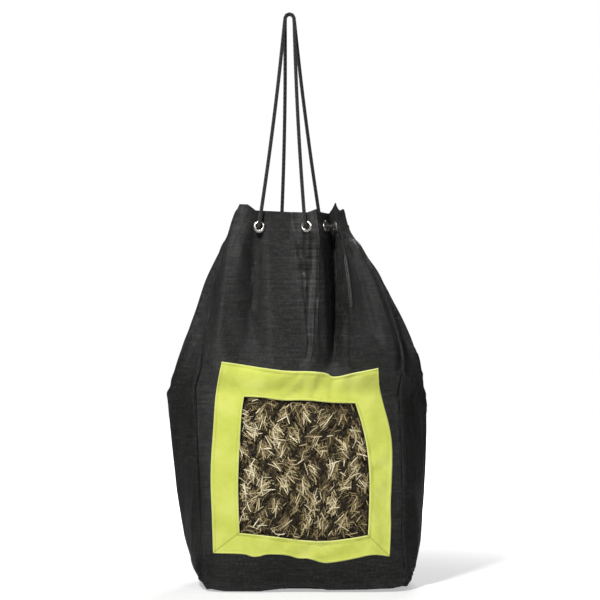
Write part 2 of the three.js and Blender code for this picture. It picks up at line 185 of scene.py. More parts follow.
# How far the mouth's edge stands above its usual height, by place along the fabric.
RIM_HEIGHT = np.array([
    (-0.19, -0.004), (-0.18, 0.004), (-0.174, 0.014), (-0.16, 0.013), (-0.146, 0.002),
    (-0.076, -0.001), (-0.04, -0.002), (-0.022, 0.004), (0.004, -0.001), (0.05, -0.003),
    (0.09, 0.006), (0.118, 0.016), (0.145, 0.004), (0.16, 0.002), (0.182, 0.006), (0.19, 0.001),
    (0.28, -0.004), (0.37, 0.000), (0.46, -0.006), (0.55, -0.003), (0.64, -0.006), (0.75, 0.000),
    (0.93, -0.004),
])

# How far the bottom edge is drawn up off the ground, by place along the fabric.
BASE_HEIGHT = np.array([
    (-0.19, 0.0045), (-0.15, 0.0002), (-0.085, 0.0004), (-0.03, 0.007), (0.015, 0.0075),
    (0.04, 0.0032), (0.11, 0.004), (0.19, 0.008), (0.23, 0.012), (0.28, 0.013), (0.34, 0.008),
    (0.37, 0.002), (0.47, 0.005), (0.56, 0.0002), (0.66, 0.006), (0.75, 0.001), (0.8, 0.01),
    (0.85, 0.015), (0.9, 0.011), (0.93, 0.0045),
])

# The cloth simulation, and how much of its wrinkles is kept.
SIM_FRAMES = 16
WRINKLE_REACH = 50
WRINKLE_CAP = 0.005
CLOTH = {
    "quality": 4,
    "mass": 0.25,
    "tension_stiffness": 25,
    "compression_stiffness": 25,
    "shear_stiffness": 12,
    "bending_stiffness": 0.2,
    "shrink_min": -0.035,
    "use_pressure": True,
    "uniform_pressure_force": 1.2,
}

STITCH_PITCH = 0.0048
STITCH_R = 0.00042
STITCH_FROM_EDGE = 0.0062

# The trim frame seen from the front, as x and z. Each edge runs left to right, or bottom to top.
TRIM_OUTER = {
    "bottom": [(-0.154, 0.068), (-0.094, 0.068), (-0.083, 0.062), (-0.068, 0.063), (-0.055, 0.068),
               (-0.016, 0.066), (0.002, 0.059), (0.022, 0.06), (0.047, 0.05), (0.074, 0.053), (0.109, 0.06),
               (0.142, 0.067), (0.17, 0.062)],
    "right": [(0.17, 0.062), (0.173, 0.115), (0.172, 0.154), (0.175, 0.209), (0.176, 0.263), (0.17, 0.302),
              (0.159, 0.34), (0.151, 0.374), (0.149, 0.409)],
    "top": [(-0.138, 0.42), (-0.084, 0.412), (-0.022, 0.403), (0.028, 0.403), (0.057, 0.399), (0.062, 0.392),
            (0.079, 0.393), (0.102, 0.399), (0.149, 0.409)],
    "left": [(-0.154, 0.068), (-0.156, 0.131), (-0.159, 0.197), (-0.158, 0.243), (-0.154, 0.293),
             (-0.15, 0.363), (-0.138, 0.42)],
}
TRIM_INNER = {
    "bottom": [(-0.105, 0.106), (-0.048, 0.101), (0.000, 0.094), (0.05, 0.091), (0.094, 0.096), (0.13, 0.102)],
    "right": [(0.13, 0.102), (0.133, 0.164), (0.133, 0.219), (0.128, 0.265), (0.119, 0.306), (0.107, 0.343)],
    "top": [(-0.097, 0.355), (-0.061, 0.354), (-0.03, 0.348), (0.02, 0.349), (0.059, 0.344), (0.107, 0.343)],
    "left": [(-0.105, 0.106), (-0.108, 0.18), (-0.107, 0.229), (-0.102, 0.322), (-0.097, 0.355)],
}

# Places across a strip of trim, from its outer edge to its inner edge: close together at the folded edges.
TRIM_ACROSS = np.array([0, 0.012, 0.03, 0.055, 0.08, 0.105, 0.16, 0.25, 0.37, 0.5, 0.63, 0.75, 0.84, 0.895,
                        0.92, 0.945, 0.97, 0.988, 1.0])
TRIM_ROWS = 80

# The net's diamonds, and the middle of one of them as x and z.
MESH_ACROSS = 0.037
MESH_UP = 0.064
NET_ORIGIN = (0.012, 0.222)
NET_DEPTH = -0.003
TWINE_R = 0.0012

# For each kind of stalk in a tuft: how widely it spreads, its greatest length and width, how far it lies over
# the others, how much paler it is, and how far its direction strays from the tuft's.
TUFT = {
    "leaf": (1.35, 0.016, 0.0013, 0.0, -0.02, 1.2),
    "stalk": (1.3, 0.02, 0.0015, 0.0012, 0.16, 0.5),
    "straw": (1.25, 0.025, 0.0018, 0.0026, 0.46, 0.62),
}
HAY_TOP_Z = 0.505
HAY_GAP = 0.012

CORD_R = 0.0034
LOOP_OUT = 0.0076
CORD_INSIDE = -0.015  # the lacing's depth behind the cloth

LIGHT_TARGET = (0, 0, 0.4)
STUDIO_GLOW = 0.06
FLOOR_GLOW = 0.45
FLOOR_REACH = 6
VIEW_WIDTH = 1.11  # metres across the picture at the bag's front
LENS = 135
SENSOR = 36
WHITE = (1, 1, 1, 1)

# ------------------------------------------------------------------ the cloth surface


def smooth_step(t):
    t = np.clip(t, 0, 1)
    return t * t * (3 - 2 * t)


def read(table, at, column=1, key=0):
    """A column of a table at some places, with straight lines between its rows."""
    return np.interp(at, table[:, key], table[:, column])


def run_along(points):
    """The distance along a line of points, at each of them."""
    return np.concatenate([[0], np.cumsum(np.linalg.norm(np.diff(points, axis=0), axis=1))])


def looped(s):
    """s brought into the range that RING covers."""
    return (np.asarray(s) - RING[0, 0]) % GIRTH + RING[0, 0]


def station(z):
    """Left reach, right reach and squareness at height z, a little smoothed."""
    window = np.linspace(-0.01, 0.01, 11) * min(1, z / 0.01)
    return [read(STATIONS, z + window, k).mean() for k in (1, 2, 3)]


def box_section(half_width, half_depth, squareness, places):
    """Points at places (0 to 1) along a rounded box, from its front middle towards +x, and its girth."""
    t = np.linspace(0, 2 * np.pi, 1441) - np.pi / 2
    x = half_width * np.sign(np.cos(t)) * np.abs(np.cos(t)) ** (2 / squareness)
    y = half_depth * np.sign(np.sin(t)) * np.abs(np.sin(t)) ** (2 / squareness)
    run = run_along(np.column_stack([x, y]))
    at = places * run[-1]
    return np.interp(at, run, x), np.interp(at, run, y), run[-1]


def filled_row(s, z):
    """The filled section at height z. Its depth follows from its width and the fabric's girth."""
    left, right, squareness = station(z)
    places = (s % GIRTH) / GIRTH
    low, high = 0.01, 0.25
    for _ in range(22):
        depth = (low + high) / 2
        x, y, girth = box_section((right - left) / 2, depth, squareness, places)
        low, high = (low, depth) if girth > GIRTH else (depth, high)
    return x + (left + right) / 2, y


def ring_row(s, z):
    """The gathered ring at height z as x, y, and the part of that which is folds."""
    at = looped(s)
    x, y = read(RING, at), read(RING, at, 2)
    unfolded = RING[UNFOLDED]
    plain_x, plain_y = read(unfolded, at), read(unfolded, at, 2)
    inward = np.zeros_like(at)
    for start, end, count, depth in TUCKS:
        t = (at - start) / (end - start)
        inside = (t > 0) & (t < 1)
        inward += np.where(inside, depth * (0.5 - 0.5 * np.cos(2 * np.pi * count * t)), 0)
    shrink = 1 - inward / np.hypot(x, y)
    fold_x, fold_y = x * shrink - plain_x, y * shrink - plain_y
    scale = 1 - NECK_TAPER * (max(z, HEM_Z) - EYELET_Z) + read(FLARE, x) * max(0, HEM_Z - z)
    return NECK_X + plain_x * scale, plain_y * scale, fold_x * scale, fold_y * scale


def fabric_place(s, z):
    """The place along the fabric of the point that the grid calls s: the front's folds run slantwise."""
    at = looped(s)
    lean = smooth_step((z - 0.3) / 0.16)
    return np.where(at <= SLANT[-1, 0], at + (read(SLANT, at) - at) * lean, at)


def drape(s, z):
    """How far the soft folds stand out from the cloth."""
    at = looped(s)
    out = np.zeros_like(at)
    for (high_s, high_z), (low_s, low_z), width, depth in DRAPES:
        down = (high_z - z) / (high_z - low_z)
        line = high_s + (low_s - high_s) * down
        fade = smooth_step((down + 0.25) / 0.4) * (1 - smooth_step((down - 0.55) / 0.6))
        out += depth * fade * np.exp(-(((at - line) / width) ** 2))
    return out


def cloth_row(s, z):
    """One row of the surface, as an n by 3 array."""
    draw = float(np.clip((z - SHOULDER_Z) / (HEM_Z - SHOULDER_Z), 0, 1))
    x, y = filled_row(fabric_place(s, z), min(z, SHOULDER_Z))
    if draw > 0:
        ring_x, ring_y, fold_x, fold_y = ring_row(s, z)
        folded = draw ** 0.42 * smooth_step(draw / 0.12)
        x = x + (ring_x - x) * draw + fold_x * draw
        y = y + (ring_y - y) * draw + fold_y * folded
    at = looped(s)
    out = drape(s, z)
    facing = np.radians(read(FACING, at))
    rim = read(RIM_HEIGHT, at) * smooth_step((z - EYELET_Z - 0.008) / 0.02)
    base = read(BASE_HEIGHT, at) * float(np.clip(1 - z / 0.07, 0, 1)) ** 2
    lift = rim + base + 0.0006 * (z < 1e-6)
    return np.column_stack([x + out * np.sin(facing), y - out * np.cos(facing), z + lift])


def grid_columns():
    """Evenly spaced columns, with extra ones close to each seam so that its edges turn in sharply."""
    offsets = (-0.0042, -0.003, -0.0018, -0.0008, 0.0, 0.0008, 0.0018, 0.003, 0.0042)
    special = looped(np.array([seam + d for seam in SEAMS for d in offsets]))
    special = np.where(special >= GIRTH - SIDE, special - GIRTH, special)
    plain = np.arange(-SIDE, GIRTH - SIDE, GRID_PITCH)
    kept = [s for s in plain if np.abs(special - s).min() > 0.0024]
    return np.sort(np.concatenate([kept, special, [SIDE]]))


class Surface:
    """The cloth as a grid of points, sampled between them, with an outward direction at each point."""

    def __init__(self):
        self.s = grid_columns()
        self.z = np.concatenate([[0, 0.0015, 0.004], np.arange(0.008, HEM_Z - 0.002, GRID_PITCH),
                                 np.linspace(HEM_Z, MOUTH_Z, 13)])
        self.points = np.array([cloth_row(self.s, z) for z in self.z])
        self.update()

    def update(self):
        """Refresh the outward directions after the points have moved."""
        across = np.roll(self.points, -1, axis=1) - np.roll(self.points, 1, axis=1)
        out = np.cross(across, np.gradient(self.points, axis=0))
        self.out = out / np.maximum(np.linalg.norm(out, axis=2, keepdims=True), 1e-12)

    def sample(self, grid, s, z):
        """A grid of values at places between its points."""
        columns = np.append(self.s, self.s[0] + GIRTH)
        s = (np.asarray(s, float) - columns[0]) % GIRTH + columns[0]
        z = np.asarray(z, float)
        i = np.clip(np.searchsorted(columns, s, side="right") - 1, 0, len(self.s) - 1)
        j = np.clip(np.searchsorted(self.z, z, side="right") - 1, 0, len(self.z) - 2)
        u = ((s - columns[i]) / (columns[i + 1] - columns[i]))[..., None]
        v = ((z - self.z[j]) / (self.z[j + 1] - self.z[j]))[..., None]
        k = (i + 1) % len(self.s)
        low = grid[j, i] * (1 - u) + grid[j, k] * u
        high = grid[j + 1, i] * (1 - u) + grid[j + 1, k] * u
        return low * (1 - v) + high * v

    def at(self, s, z, out=0.0):
        """Points that stand a distance out from the cloth."""
        out = np.asarray(out, float)[..., None]
        return self.sample(self.points, s, z) + self.sample(self.out, s, z) * out

    def front_place(self, x, z):
        """The s of the point of the front panel that is at x when seen from the front."""
        x, z = np.broadcast_arrays(x, z)
        found = np.empty(x.shape)
        across = np.linspace(-0.188, 0.188, 160)
        for index in np.ndindex(x.shape):
            row = self.sample(self.points, across, np.full(160, z[index]))[:, 0]
            found[index] = np.interp(x[index], np.maximum.accumulate(row), across)
        return found


# ------------------------------------------------------------------ meshes


def new_object(name, vertices, faces, smooth=True):
    mesh = bpy.data.meshes.new(name)
    mesh.from_pydata([tuple(map(float, v)) for v in vertices], [], [tuple(map(int, f)) for f in faces])
    mesh.validate()
    if smooth:
        mesh.shade_smooth()
    obj = bpy.data.objects.new(name, mesh)
    bpy.context.scene.collection.objects.link(obj)
    return obj


def set_uv(obj, coordinates):
    """coordinates holds one (u, v) for each vertex."""
    layer = obj.data.uv_layers.new(name="cloth")
    loops = np.empty(len(obj.data.loops), int)
    obj.data.loops.foreach_get("vertex_index", loops)
    layer.data.foreach_set("uv", np.asarray(coordinates, np.float32)[loops].ravel())


def set_attribute(obj, name, values):
    attribute = obj.data.attributes.new(name, "FLOAT", "POINT")
    attribute.data.foreach_set("value", np.asarray(values, np.float32))


def bend_line(side):
    """The start and end of the stretch over which a lip of the mouth turns, along a slanting direction."""
    direction = Vector((0, BEND_SLANT * side, 1.0))
    return tuple(direction * (level / direction.length_squared) for level in BEND_LEVELS)


BENDS = {"front": bend_line(-1), "back": bend_line(1)}


def stiff_line(bend, centre, normal):
    """A bend's start and end for a flat piece, turned to its normal so that it moves with its centre."""
    start, end = bend
    share = min(1, max(0, (centre - start).dot(end - start) / (end - start).length_squared))
    return centre - normal * share, centre + normal * (1 - share)


def finish(obj, material, slot, stands_for=(), body="bag", blend=None, rigid_at=None):
    """Give a piece its material and hide the CAD nodes it stands for; attach it to its body, or with a blend
    only bake its transform. The slot argument is not used.
    """
    obj.data.materials.append(MATERIALS[material])
    if stands_for:
        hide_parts(*stands_for)
    if blend is None:
        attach(obj, body)
    else:
        line = stiff_line(BENDS[blend], *rigid_at) if rigid_at else BENDS[blend]
        blend + "_lip"
        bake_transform(obj)


def slab(name, s, z, outer, inner, keep=None):
    """A closed sheet between two distances from the cloth. s and z are rows by columns; keep drops cells."""
    rows, columns = s.shape
    points = np.concatenate([surface.at(s, z, np.broadcast_to(out, s.shape)).reshape(-1, 3)
                             for out in (outer, inner)])
    keep = np.ones((rows - 1, columns - 1), bool) if keep is None else keep
    under = rows * columns
    faces = []
    rim = {}
    for j, i in zip(*np.nonzero(keep)):
        a = j * columns + i
        corners = (a, a + 1, a + columns + 1, a + columns)
        faces.append(corners)
        faces.append(tuple(under + c for c in reversed(corners)))
        for p, q in zip(corners, corners[1:] + corners[:1]):
            if (q, p) in rim:
                del rim[(q, p)]
            else:
                rim[(p, q)] = True
    faces.extend((q, p, under + p, under + q) for p, q in rim)
    obj = new_object(name, points, faces)
    flat = np.column_stack([fabric_place(s, z).ravel(), z.ravel()])
    set_uv(obj, np.concatenate([flat, flat]))
    drop_loose(obj)
    obj.data.set_sharp_from_angle(angle=math.radians(60))
    return obj


def drop_loose(obj):
    """Remove vertices that no face uses."""
    work = bmesh.new()
    work.from_mesh(obj.data)
    loose = [v for v in work.verts if not v.link_faces]
    bmesh.ops.delete(work, geom=loose, context="VERTS")
    work.to_mesh(obj.data)
    work.free()


def resample(points, count):
    """count points evenly spaced along a line through the given points."""
    run = run_along(points)
    at = np.linspace(0, run[-1], count)
    return np.column_stack([np.interp(at, run, points[:, k]) for k in range(points.shape[1])])


def rounded(points, count, passes=3):
    """A smooth line through nearly the given points: corner cutting, then even spacing."""
    points = np.asarray(points, float)
    for _ in range(passes):
        a, b = points[:-1], points[1:]
        cut = np.empty((2 * len(a), points.shape[1]))
        cut[0::2] = a * 0.75 + b * 0.25
        cut[1::2] = a * 0.25 + b * 0.75
        points = np.concatenate([points[:1], cut[1:-1], points[-1:]])
    return resample(points, count)


def tube_faces(rings, count):
    """The faces between rings of count points each, numbered ring by ring."""
    faces = []
    for a in range(0, (rings - 1) * count, count):
        for i in range(count):
            k = (i + 1) % count
            faces.append((a + i, a + k, a + count + k, a + count + i))
    return faces


def sweep(path, radius, sides=12):
    """Vertices, faces and (length, angle) coordinates of a round cord along a path, with domed ends."""
    path = np.asarray(path, float)
    tangent = np.gradient(path, axis=0)
    tangent /= np.linalg.norm(tangent, axis=1, keepdims=True)
    normal = np.cross(tangent[0], (0.31, 0.95, 0.11))
    run = run_along(path)
    last = len(path) - 1
    vertices, coordinates = [], []
    for k, point in enumerate(path):
        t = tangent[k]
        normal = normal - t * normal.dot(t)
        normal /= np.linalg.norm(normal)
        side = np.cross(t, normal)
        angles = {0: (-1.05, -0.6, -0.15, 0), last: (0, 0.15, 0.6, 1.05)}.get(k, (0,))
        for dome in angles:
            ahead, size = radius * math.sin(dome), radius * (math.cos(dome) if dome else 1)
            for angle in np.linspace(0, 2 * np.pi, sides, endpoint=False):
                around = normal * math.cos(angle) + side * math.sin(angle)
                vertices.append(point + t * ahead + around * size)
                coordinates.append((run[k] + ahead, angle / (2 * np.pi)))
    faces = tube_faces(len(vertices) // sides, sides)
    faces.append(tuple(reversed(range(sides))))
    faces.append(tuple(range(len(vertices) - sides, len(vertices))))
    return vertices, faces, coordinates


def joined(parts):
    """Several (vertices, faces, values) parts as one."""
    vertices, faces, values = [], [], []
    for part_vertices, part_faces, part_values in parts:
        start = len(vertices)
        vertices.extend(part_vertices)
        faces.extend(tuple(start + k for k in face) for face in part_faces)
        values.extend(part_values)
    return vertices, faces, values


def merge_parts(name, parts):
    """One object from several (vertices, faces, coordinates) parts."""
    vertices, faces, coordinates = joined(parts)
    obj = new_object(name, vertices, faces)
    set_uv(obj, coordinates)
    return obj


# ------------------------------------------------------------------ materials


class Field:
    """A value that varies over a material. Arithmetic on it adds the nodes for that arithmetic."""

    def __init__(self, graph, socket):
        self.graph = graph
        self.socket = socket

    def __add__(self, other):
        return self.graph.math("ADD", self, other)

    def __sub__(self, other):
        return self.graph.math("SUBTRACT", self, other)

    def __rsub__(self, other):
        return self.graph.math("SUBTRACT", other, self)

    def __mul__(self, other):
        return self.graph.math("MULTIPLY", self, other)

    def __abs__(self):
        return self.graph.math("ABSOLUTE", self)


class Graph:
    """A short way to write a material's nodes."""

    SOCKETS = {"colour": "Base Color", "roughness": "Roughness", "metal": "Metallic", "normal": "Normal",
               "sheen": "Sheen Weight", "sheen_rough": "Sheen Roughness", "sheen_tint": "Sheen Tint",
               "specular": "Specular IOR Level", "glow": "Emission Strength", "glow_colour": "Emission Color"}

    def __init__(self, name):
        self.material = bpy.data.materials.new(name)
        self.material.use_nodes = True
        self.tree = self.material.node_tree

    def feed(self, socket, value):
        if isinstance(value, Field):
            self.tree.links.new(value.socket, socket)
        else:
            socket.default_value = value

    def field(self, kind, inputs, output=0, **settings):
        """Add a node with its inputs, by name or number, and return one of its outputs."""
        made = self.tree.nodes.new("ShaderNode" + kind)
        for key, value in settings.items():
            setattr(made, key, value)
        for key, value in inputs.items():
            self.feed(made.inputs[key], value)
        return Field(self, made.outputs[output])

    def math(self, operation, *values):
        return self.field("Math", dict(enumerate(values)), operation=operation)

    def mix(self, share, a, b):
        return self.field("Mix", {0: share, 6: a, 7: b}, output=2, data_type="RGBA")

    def ramp(self, value, *stops):
        """Colours over a value, as (place, colour) stops. A plain number is a grey."""
        made = self.field("ValToRGB", {0: value})
        elements = made.socket.node.color_ramp.elements
        while len(elements) < len(stops):
            elements.new(0.5)
        for element, (place, colour) in zip(elements, stops):
            element.position = place
            element.color = (*colour, 1) if isinstance(colour, tuple) else (colour, colour, colour, 1)
        return made

    def noise(self, coordinates, scale, detail=3.0, roughness=0.55):
        """Cloudy noise. A scale of three numbers stretches it."""
        if isinstance(scale, tuple):
            coordinates, scale = self.field("Mapping", {"Vector": coordinates, "Scale": scale}), 1.0
        return self.field("TexNoise", {"Vector": coordinates, "Scale": scale, "Detail": detail,
                                       "Roughness": roughness})

    def uv(self):
        return self.field("UVMap", {}, uv_map="cloth")

    def place(self):
        return self.field("TexCoord", {}, output="Object")

    def attribute(self, name):
        return self.field("Attribute", {}, output="Fac", attribute_name=name)

    def split(self, coordinates):
        first = self.field("SeparateXYZ", {0: coordinates})
        return first, Field(self, first.socket.node.outputs[1])

    def bumps(self, *layers):
        """A normal that is bumped by each (height, strength, distance) in turn."""
        normal = {}
        for height, strength, distance in layers:
            inputs = {"Height": height, "Strength": strength, "Distance": distance}
            normal = {"Normal": self.field("Bump", {**inputs, **normal})}
        return normal["Normal"]

    def set(self, **values):
        shader = self.tree.nodes["Principled BSDF"]
        for key, value in values.items():
            self.feed(shader.inputs[self.SOCKETS[key]], value)
        return self.material


def woven(graph, coordinates, pitch):
    """Height of a plain weave: yarns a pitch apart that pass over and under each other."""
    warp, weft = [abs(graph.math("SINE", part * (math.pi / pitch))) for part in graph.split(coordinates)]
    over = graph.field("TexChecker", {"Vector": coordinates, "Scale": 1 / pitch}, output="Fac")
    return warp * over + weft * (1.0 - over)


def painted_shade_share(graph, uv):
    """Painted shade, 0 to 1: the fabric is painted darker and given less specular on the gussets and low down.
    """
    s, z = graph.split(uv)
    from_gusset = abs(abs(s - GIRTH / 2) - SIDE)
    gusset = graph.ramp(from_gusset, (0.084, 1), (0.092, 0)) * graph.ramp(z, (0.34, 1), (0.46, 0))
    return graph.math("MAXIMUM", gusset, graph.ramp(z, (0.03, 0.6), (0.3, 0)))


def fabric_material():
    graph = Graph("black_woven_fabric")
    uv, place = graph.uv(), graph.place()
    painted_shade = painted_shade_share(graph, uv)
    weave = woven(graph, uv, 0.0013)
    grain = (graph.noise(uv, (60, 520, 1), 2.0) + graph.noise(uv, (560, 70, 1), 2.0)) * 0.5
    cloudy = graph.noise(place, 9.0, 4.0)
    ripples = graph.noise(uv, (26, 230, 1))
    glints = graph.noise(uv, (230, 230, 1), 2.0)
    # Painted shade on the gussets and low down lowers the tone here, and lowers the specular below.
    tone = grain * 0.4 + weave * 0.14 + cloudy * 0.16 + ripples * 0.28 + glints * 0.26 - painted_shade * 0.075
    colour = graph.ramp(tone, (0.5, (0.003, 0.003, 0.0027)), (0.62, (0.0098, 0.0096, 0.0091)),
                        (0.8, (0.052, 0.051, 0.05)))
    specks = graph.math("GREATER_THAN", graph.noise(place, 260.0, 2.0), 0.735)
    return graph.set(
        colour=graph.mix(specks * 0.35, colour, (0.16, 0.14, 0.1, 1)),
        roughness=cloudy * 0.12 + 0.38,
        normal=graph.bumps((cloudy, 0.15, 0.004), (ripples, 0.3, 0.002), (grain, 0.55, 0.001),
                           (weave, 0.75, 0.0005)),
        sheen=0.03,
        sheen_rough=0.4,
        sheen_tint=(0.78, 0.78, 0.77, 1),
        specular=0.38 - painted_shade * 0.22,
    )


def lime_material():
    graph = Graph("lime_trim_fabric")
    uv, place = graph.uv(), graph.place()
    weave = woven(graph, uv, 0.001)
    mottled = graph.noise(place, 22.0, 4.0)
    grain = graph.noise(uv, (420, 420, 1), 2.0)
    tone = mottled * 0.8 + grain * 0.25
    colour = graph.ramp(tone, (0.3, (0.52, 0.58, 0.07)), (0.55, (0.63, 0.68, 0.12)), (0.8, (0.72, 0.76, 0.2)))
    soiled = graph.ramp(graph.noise(place, 55.0, 5.0), (0.62, 0), (0.8, 1))
    # The edge attribute paints a pale highlight along both folded edges of the trim.
    colour = graph.mix(graph.attribute("edge") * 0.75, colour, (0.86, 0.9, 0.42, 1))
    colour = graph.mix(soiled * 0.22, colour, (0.36, 0.38, 0.09, 1))
    # Darker at the mitre ends: painted shade in the mitre's groove.
    colour = graph.mix(graph.attribute("mitre") * 0.55, colour, (0.3, 0.34, 0.05, 1))
    return graph.set(colour=colour, roughness=grain * 0.2 + 0.58, sheen=0.15, sheen_rough=0.5, specular=0.3,
                     normal=graph.bumps((mottled, 0.25, 0.004), (weave, 0.5, 0.0004)))


def thread_material(name, dark, light):
    graph = Graph(name)
    twist = graph.noise(graph.place(), 900.0, 1.0)
    colour = graph.ramp(twist, (0.35, dark), (0.65, light))
    return graph.set(colour=colour, roughness=0.7, normal=graph.bumps((twist, 0.5, 0.0003)))


def twine_material():
    """Three-strand twine: the strands wind round it once in each lay length."""
    graph = Graph("net_twine")
    along, around = graph.split(graph.uv())
    twist = graph.math("SINE", along * (2 * math.pi / 0.0042) + around * (6 * math.pi))
    tone = twist * 0.25 + graph.noise(graph.place(), 700.0, 2.0)
    colour = graph.ramp(tone, (0.3, (0.006, 0.005, 0.004)), (0.8, (0.05, 0.04, 0.03)))
    return graph.set(colour=colour, roughness=0.8, normal=graph.bumps((tone, 0.8, 0.0006)), specular=0.25)


def cord_material():
    """Braided cord: strands winding both ways, the nearer one on top."""
    graph = Graph("braided_cord")
    along, around = graph.split(graph.uv())
    along, around = along * (2 * math.pi / 0.009), around * (8 * math.pi)
    braid = graph.math("MAXIMUM", graph.math("SINE", around + along), graph.math("SINE", around - along))
    fuzz = graph.noise(graph.place(), 520.0)
    colour = graph.ramp(braid * 0.35 + fuzz * 0.5, (0.1, 0.002), (0.55, 0.006), (0.85, 0.024))
    return graph.set(colour=colour, roughness=0.62, sheen=0.2, specular=0.35,
                     normal=graph.bumps((braid, 1.0, 0.0009), (fuzz, 0.4, 0.0004)))


def nickel_material():
    graph = Graph("nickel_plate")
    scratches = graph.noise(graph.place(), (620, 620, 5580))
    clouds = graph.noise(graph.place(), 160.0)
    colour = graph.ramp(clouds, (0.3, (0.42, 0.39, 0.34)), (0.62, (0.74, 0.72, 0.68)),
                        (0.85, (0.82, 0.8, 0.77)))
    return graph.set(colour=colour, metal=1.0, roughness=scratches * 0.26 + 0.16,
                     normal=graph.bumps((scratches, 0.12, 0.0002)))


def hay_material():
    """Single stalks, from shaded brown to pale straw by their tint."""
    graph = Graph("dry_hay")
    streak = graph.noise(graph.place(), 420.0)
    tone = graph.attribute("tint") + (streak - 0.5) * 0.35
    colour = graph.ramp(tone, (0.00, (0.022, 0.014, 0.006)), (0.28, (0.13, 0.092, 0.036)),
                        (0.52, (0.37, 0.285, 0.13)), (0.74, (0.68, 0.57, 0.32)), (0.95, (0.95, 0.87, 0.62)))
    return graph.set(colour=colour, roughness=0.62, normal=graph.bumps((streak, 0.5, 0.0006)), specular=0.35)


def hay_bulk_material():
    """Packed hay seen in the dark behind the stalks."""
    graph = Graph("packed_hay")
    place = graph.place()
    tone = graph.noise(place, (70, 70, 380), 5.0, 0.7) * 0.6 + graph.noise(place, 130.0, 5.0, 0.7) * 0.4
    colour = graph.ramp(tone, (0.35, (0.006, 0.004, 0.003)), (0.52, (0.035, 0.026, 0.012)),
                        (0.7, (0.15, 0.115, 0.055)))
    return graph.set(colour=colour, roughness=0.85, normal=graph.bumps((tone, 1.0, 0.004)), specular=0.2)


MATERIALS = {
    "fabric": fabric_material(),
    "lime": lime_material(),
    "black_thread": thread_material("black_thread", (0.006, 0.006, 0.006), (0.045, 0.045, 0.047)),
    "lime_thread": thread_material("lime_thread", (0.42, 0.48, 0.07), (0.7, 0.76, 0.24)),
    "twine": twine_material(),
    "cord": cord_material(),
    "nickel": nickel_material(),
    "hay": hay_material(),
    "hay_bulk": hay_bulk_material(),
}

# ------------------------------------------------------------------ the cloth simulation


def relax(surface):
    """Let the cloth wrinkle: a short simulation from the drawn shape, held at the mouth and the base."""
    rows, columns = len(surface.z), len(surface.s)
    obj = new_object("cloth_work", surface.points.reshape(-1, 3), tube_faces(rows, columns))
    z = np.repeat(surface.z, columns)
    hold = np.clip(np.maximum(smooth_step((z - HEM_Z + 0.03) / 0.03), 1 - z / 0.012), 0, 1)
    group = obj.vertex_groups.new(name="hold")
    for index, weight in enumerate(hold):
        if weight > 0:
            group.add([index], float(weight), "REPLACE")
    cloth = obj.modifiers.new("cloth", "CLOTH")
    for key, value in CLOTH.items():
        setattr(cloth.settings, key, value)
    cloth.settings.vertex_group_mass = "hold"
    cloth.settings.effector_weights.gravity = 0.6
    cloth.collision_settings.use_collision = False
    cloth.point_cache.frame_start = 1
    cloth.point_cache.frame_end = SIM_FRAMES
    scene = bpy.context.scene
    for number in range(1, SIM_FRAMES + 1):
        scene.frame_set(number)
    evaluated = obj.evaluated_get(bpy.context.evaluated_depsgraph_get())
    moved = np.empty(rows * columns * 3)
    evaluated.data.vertices.foreach_get("co", moved)
    moved = moved.reshape(rows, columns, 3) - surface.points
    scene.frame_set(1)
    bpy.data.meshes.remove(obj.data)
    outwards = (moved * surface.out).sum(axis=2)
    wrinkles = WRINKLE_CAP * np.tanh((outwards - smoothed(outwards, WRINKLE_REACH)) / WRINKLE_CAP)
    surface.points += surface.out * (wrinkles * relax_share(surface))[..., None]
    surface.update()


def smoothed(grid, passes):
    """Blur a grid of numbers, round the bag and up it."""
    for _ in range(passes):
        grid = (np.roll(grid, 1, axis=1) + 2 * grid + np.roll(grid, -1, axis=1)) / 4
        tall = np.pad(grid, ((1, 1), (0, 0)), mode="edge")
        grid = (tall[:-2] + 2 * grid + tall[2:]) / 4
    return grid


def relax_share(surface):
    """How much of the simulated movement each part keeps: little where the trim stiffens the cloth."""
    s, z = np.meshgrid(surface.s, surface.z)
    sideways = smooth_step((np.abs(s) - 0.165) / 0.03)
    upwards = smooth_step((z - 0.415) / 0.05)
    return 0.3 + 0.7 * np.maximum(sideways, upwards)


surface = Surface()
relax(surface)

# ------------------------------------------------------------------ fabric pieces


def seam_relief(s):
    """The cloth turns in at a seam and stands proud beside it, where the seam allowance lies underneath."""
    relief = np.zeros_like(s)
    for seam in SEAMS:
        away = np.abs((s - seam + GIRTH / 2) % GIRTH - GIRTH / 2)
        relief -= 0.0022 * np.exp(-((away / 0.0011) ** 2))
        relief += 0.0009 * np.exp(-(((away - 0.0045) / 0.0028) ** 2))
    return relief


def seats():
    """The middle and outward direction of each eyelet."""
    found = []
    for stretch, share in EYELETS:
        (_, x0, y0), (_, x1, y1) = RING[stretch], RING[stretch + 1]
        x, y = x0 + (x1 - x0) * share, y0 + (y1 - y0) * share
        along = Vector((x1 - x0, y1 - y0, 0)).normalized()
        up = Vector((-NECK_TAPER * x, -NECK_TAPER * y, 1))
        found.append((Vector((NECK_X + x, y, EYELET_Z)), along.cross(up).normalized()))
    return found


SEATS = seats()


def cell_middles(s, z):
    """The middle of each cell between grid lines, on the cloth."""
    return surface.sample(surface.points, (s[:-1, :-1] + s[1:, 1:]) / 2, (z[:-1, :-1] + z[1:, 1:]) / 2)


def window_mask(s, z):
    """True for cells of the front panel that are cut away behind the window."""
    z_middle = (z[:-1, :-1] + z[1:, 1:]) / 2
    x_middle = cell_middles(s, z)[..., 0]
    (left, _, bottom), (right, _, top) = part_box("window_net")
    across = (x_middle > left - 0.002) & (x_middle < right + 0.01)
    return across & (z_middle > bottom - 0.004) & (z_middle < top + 0.004)


def eyelet_mask(s, z):
    """True for cells that an eyelet's barrel passes through."""
    middle = cell_middles(s, z)
    hit = np.zeros(middle.shape[:2], bool)
    for seat, _ in SEATS:
        hit |= np.linalg.norm(middle - np.array(seat), axis=2) < EYELET_HOLE
    return hit


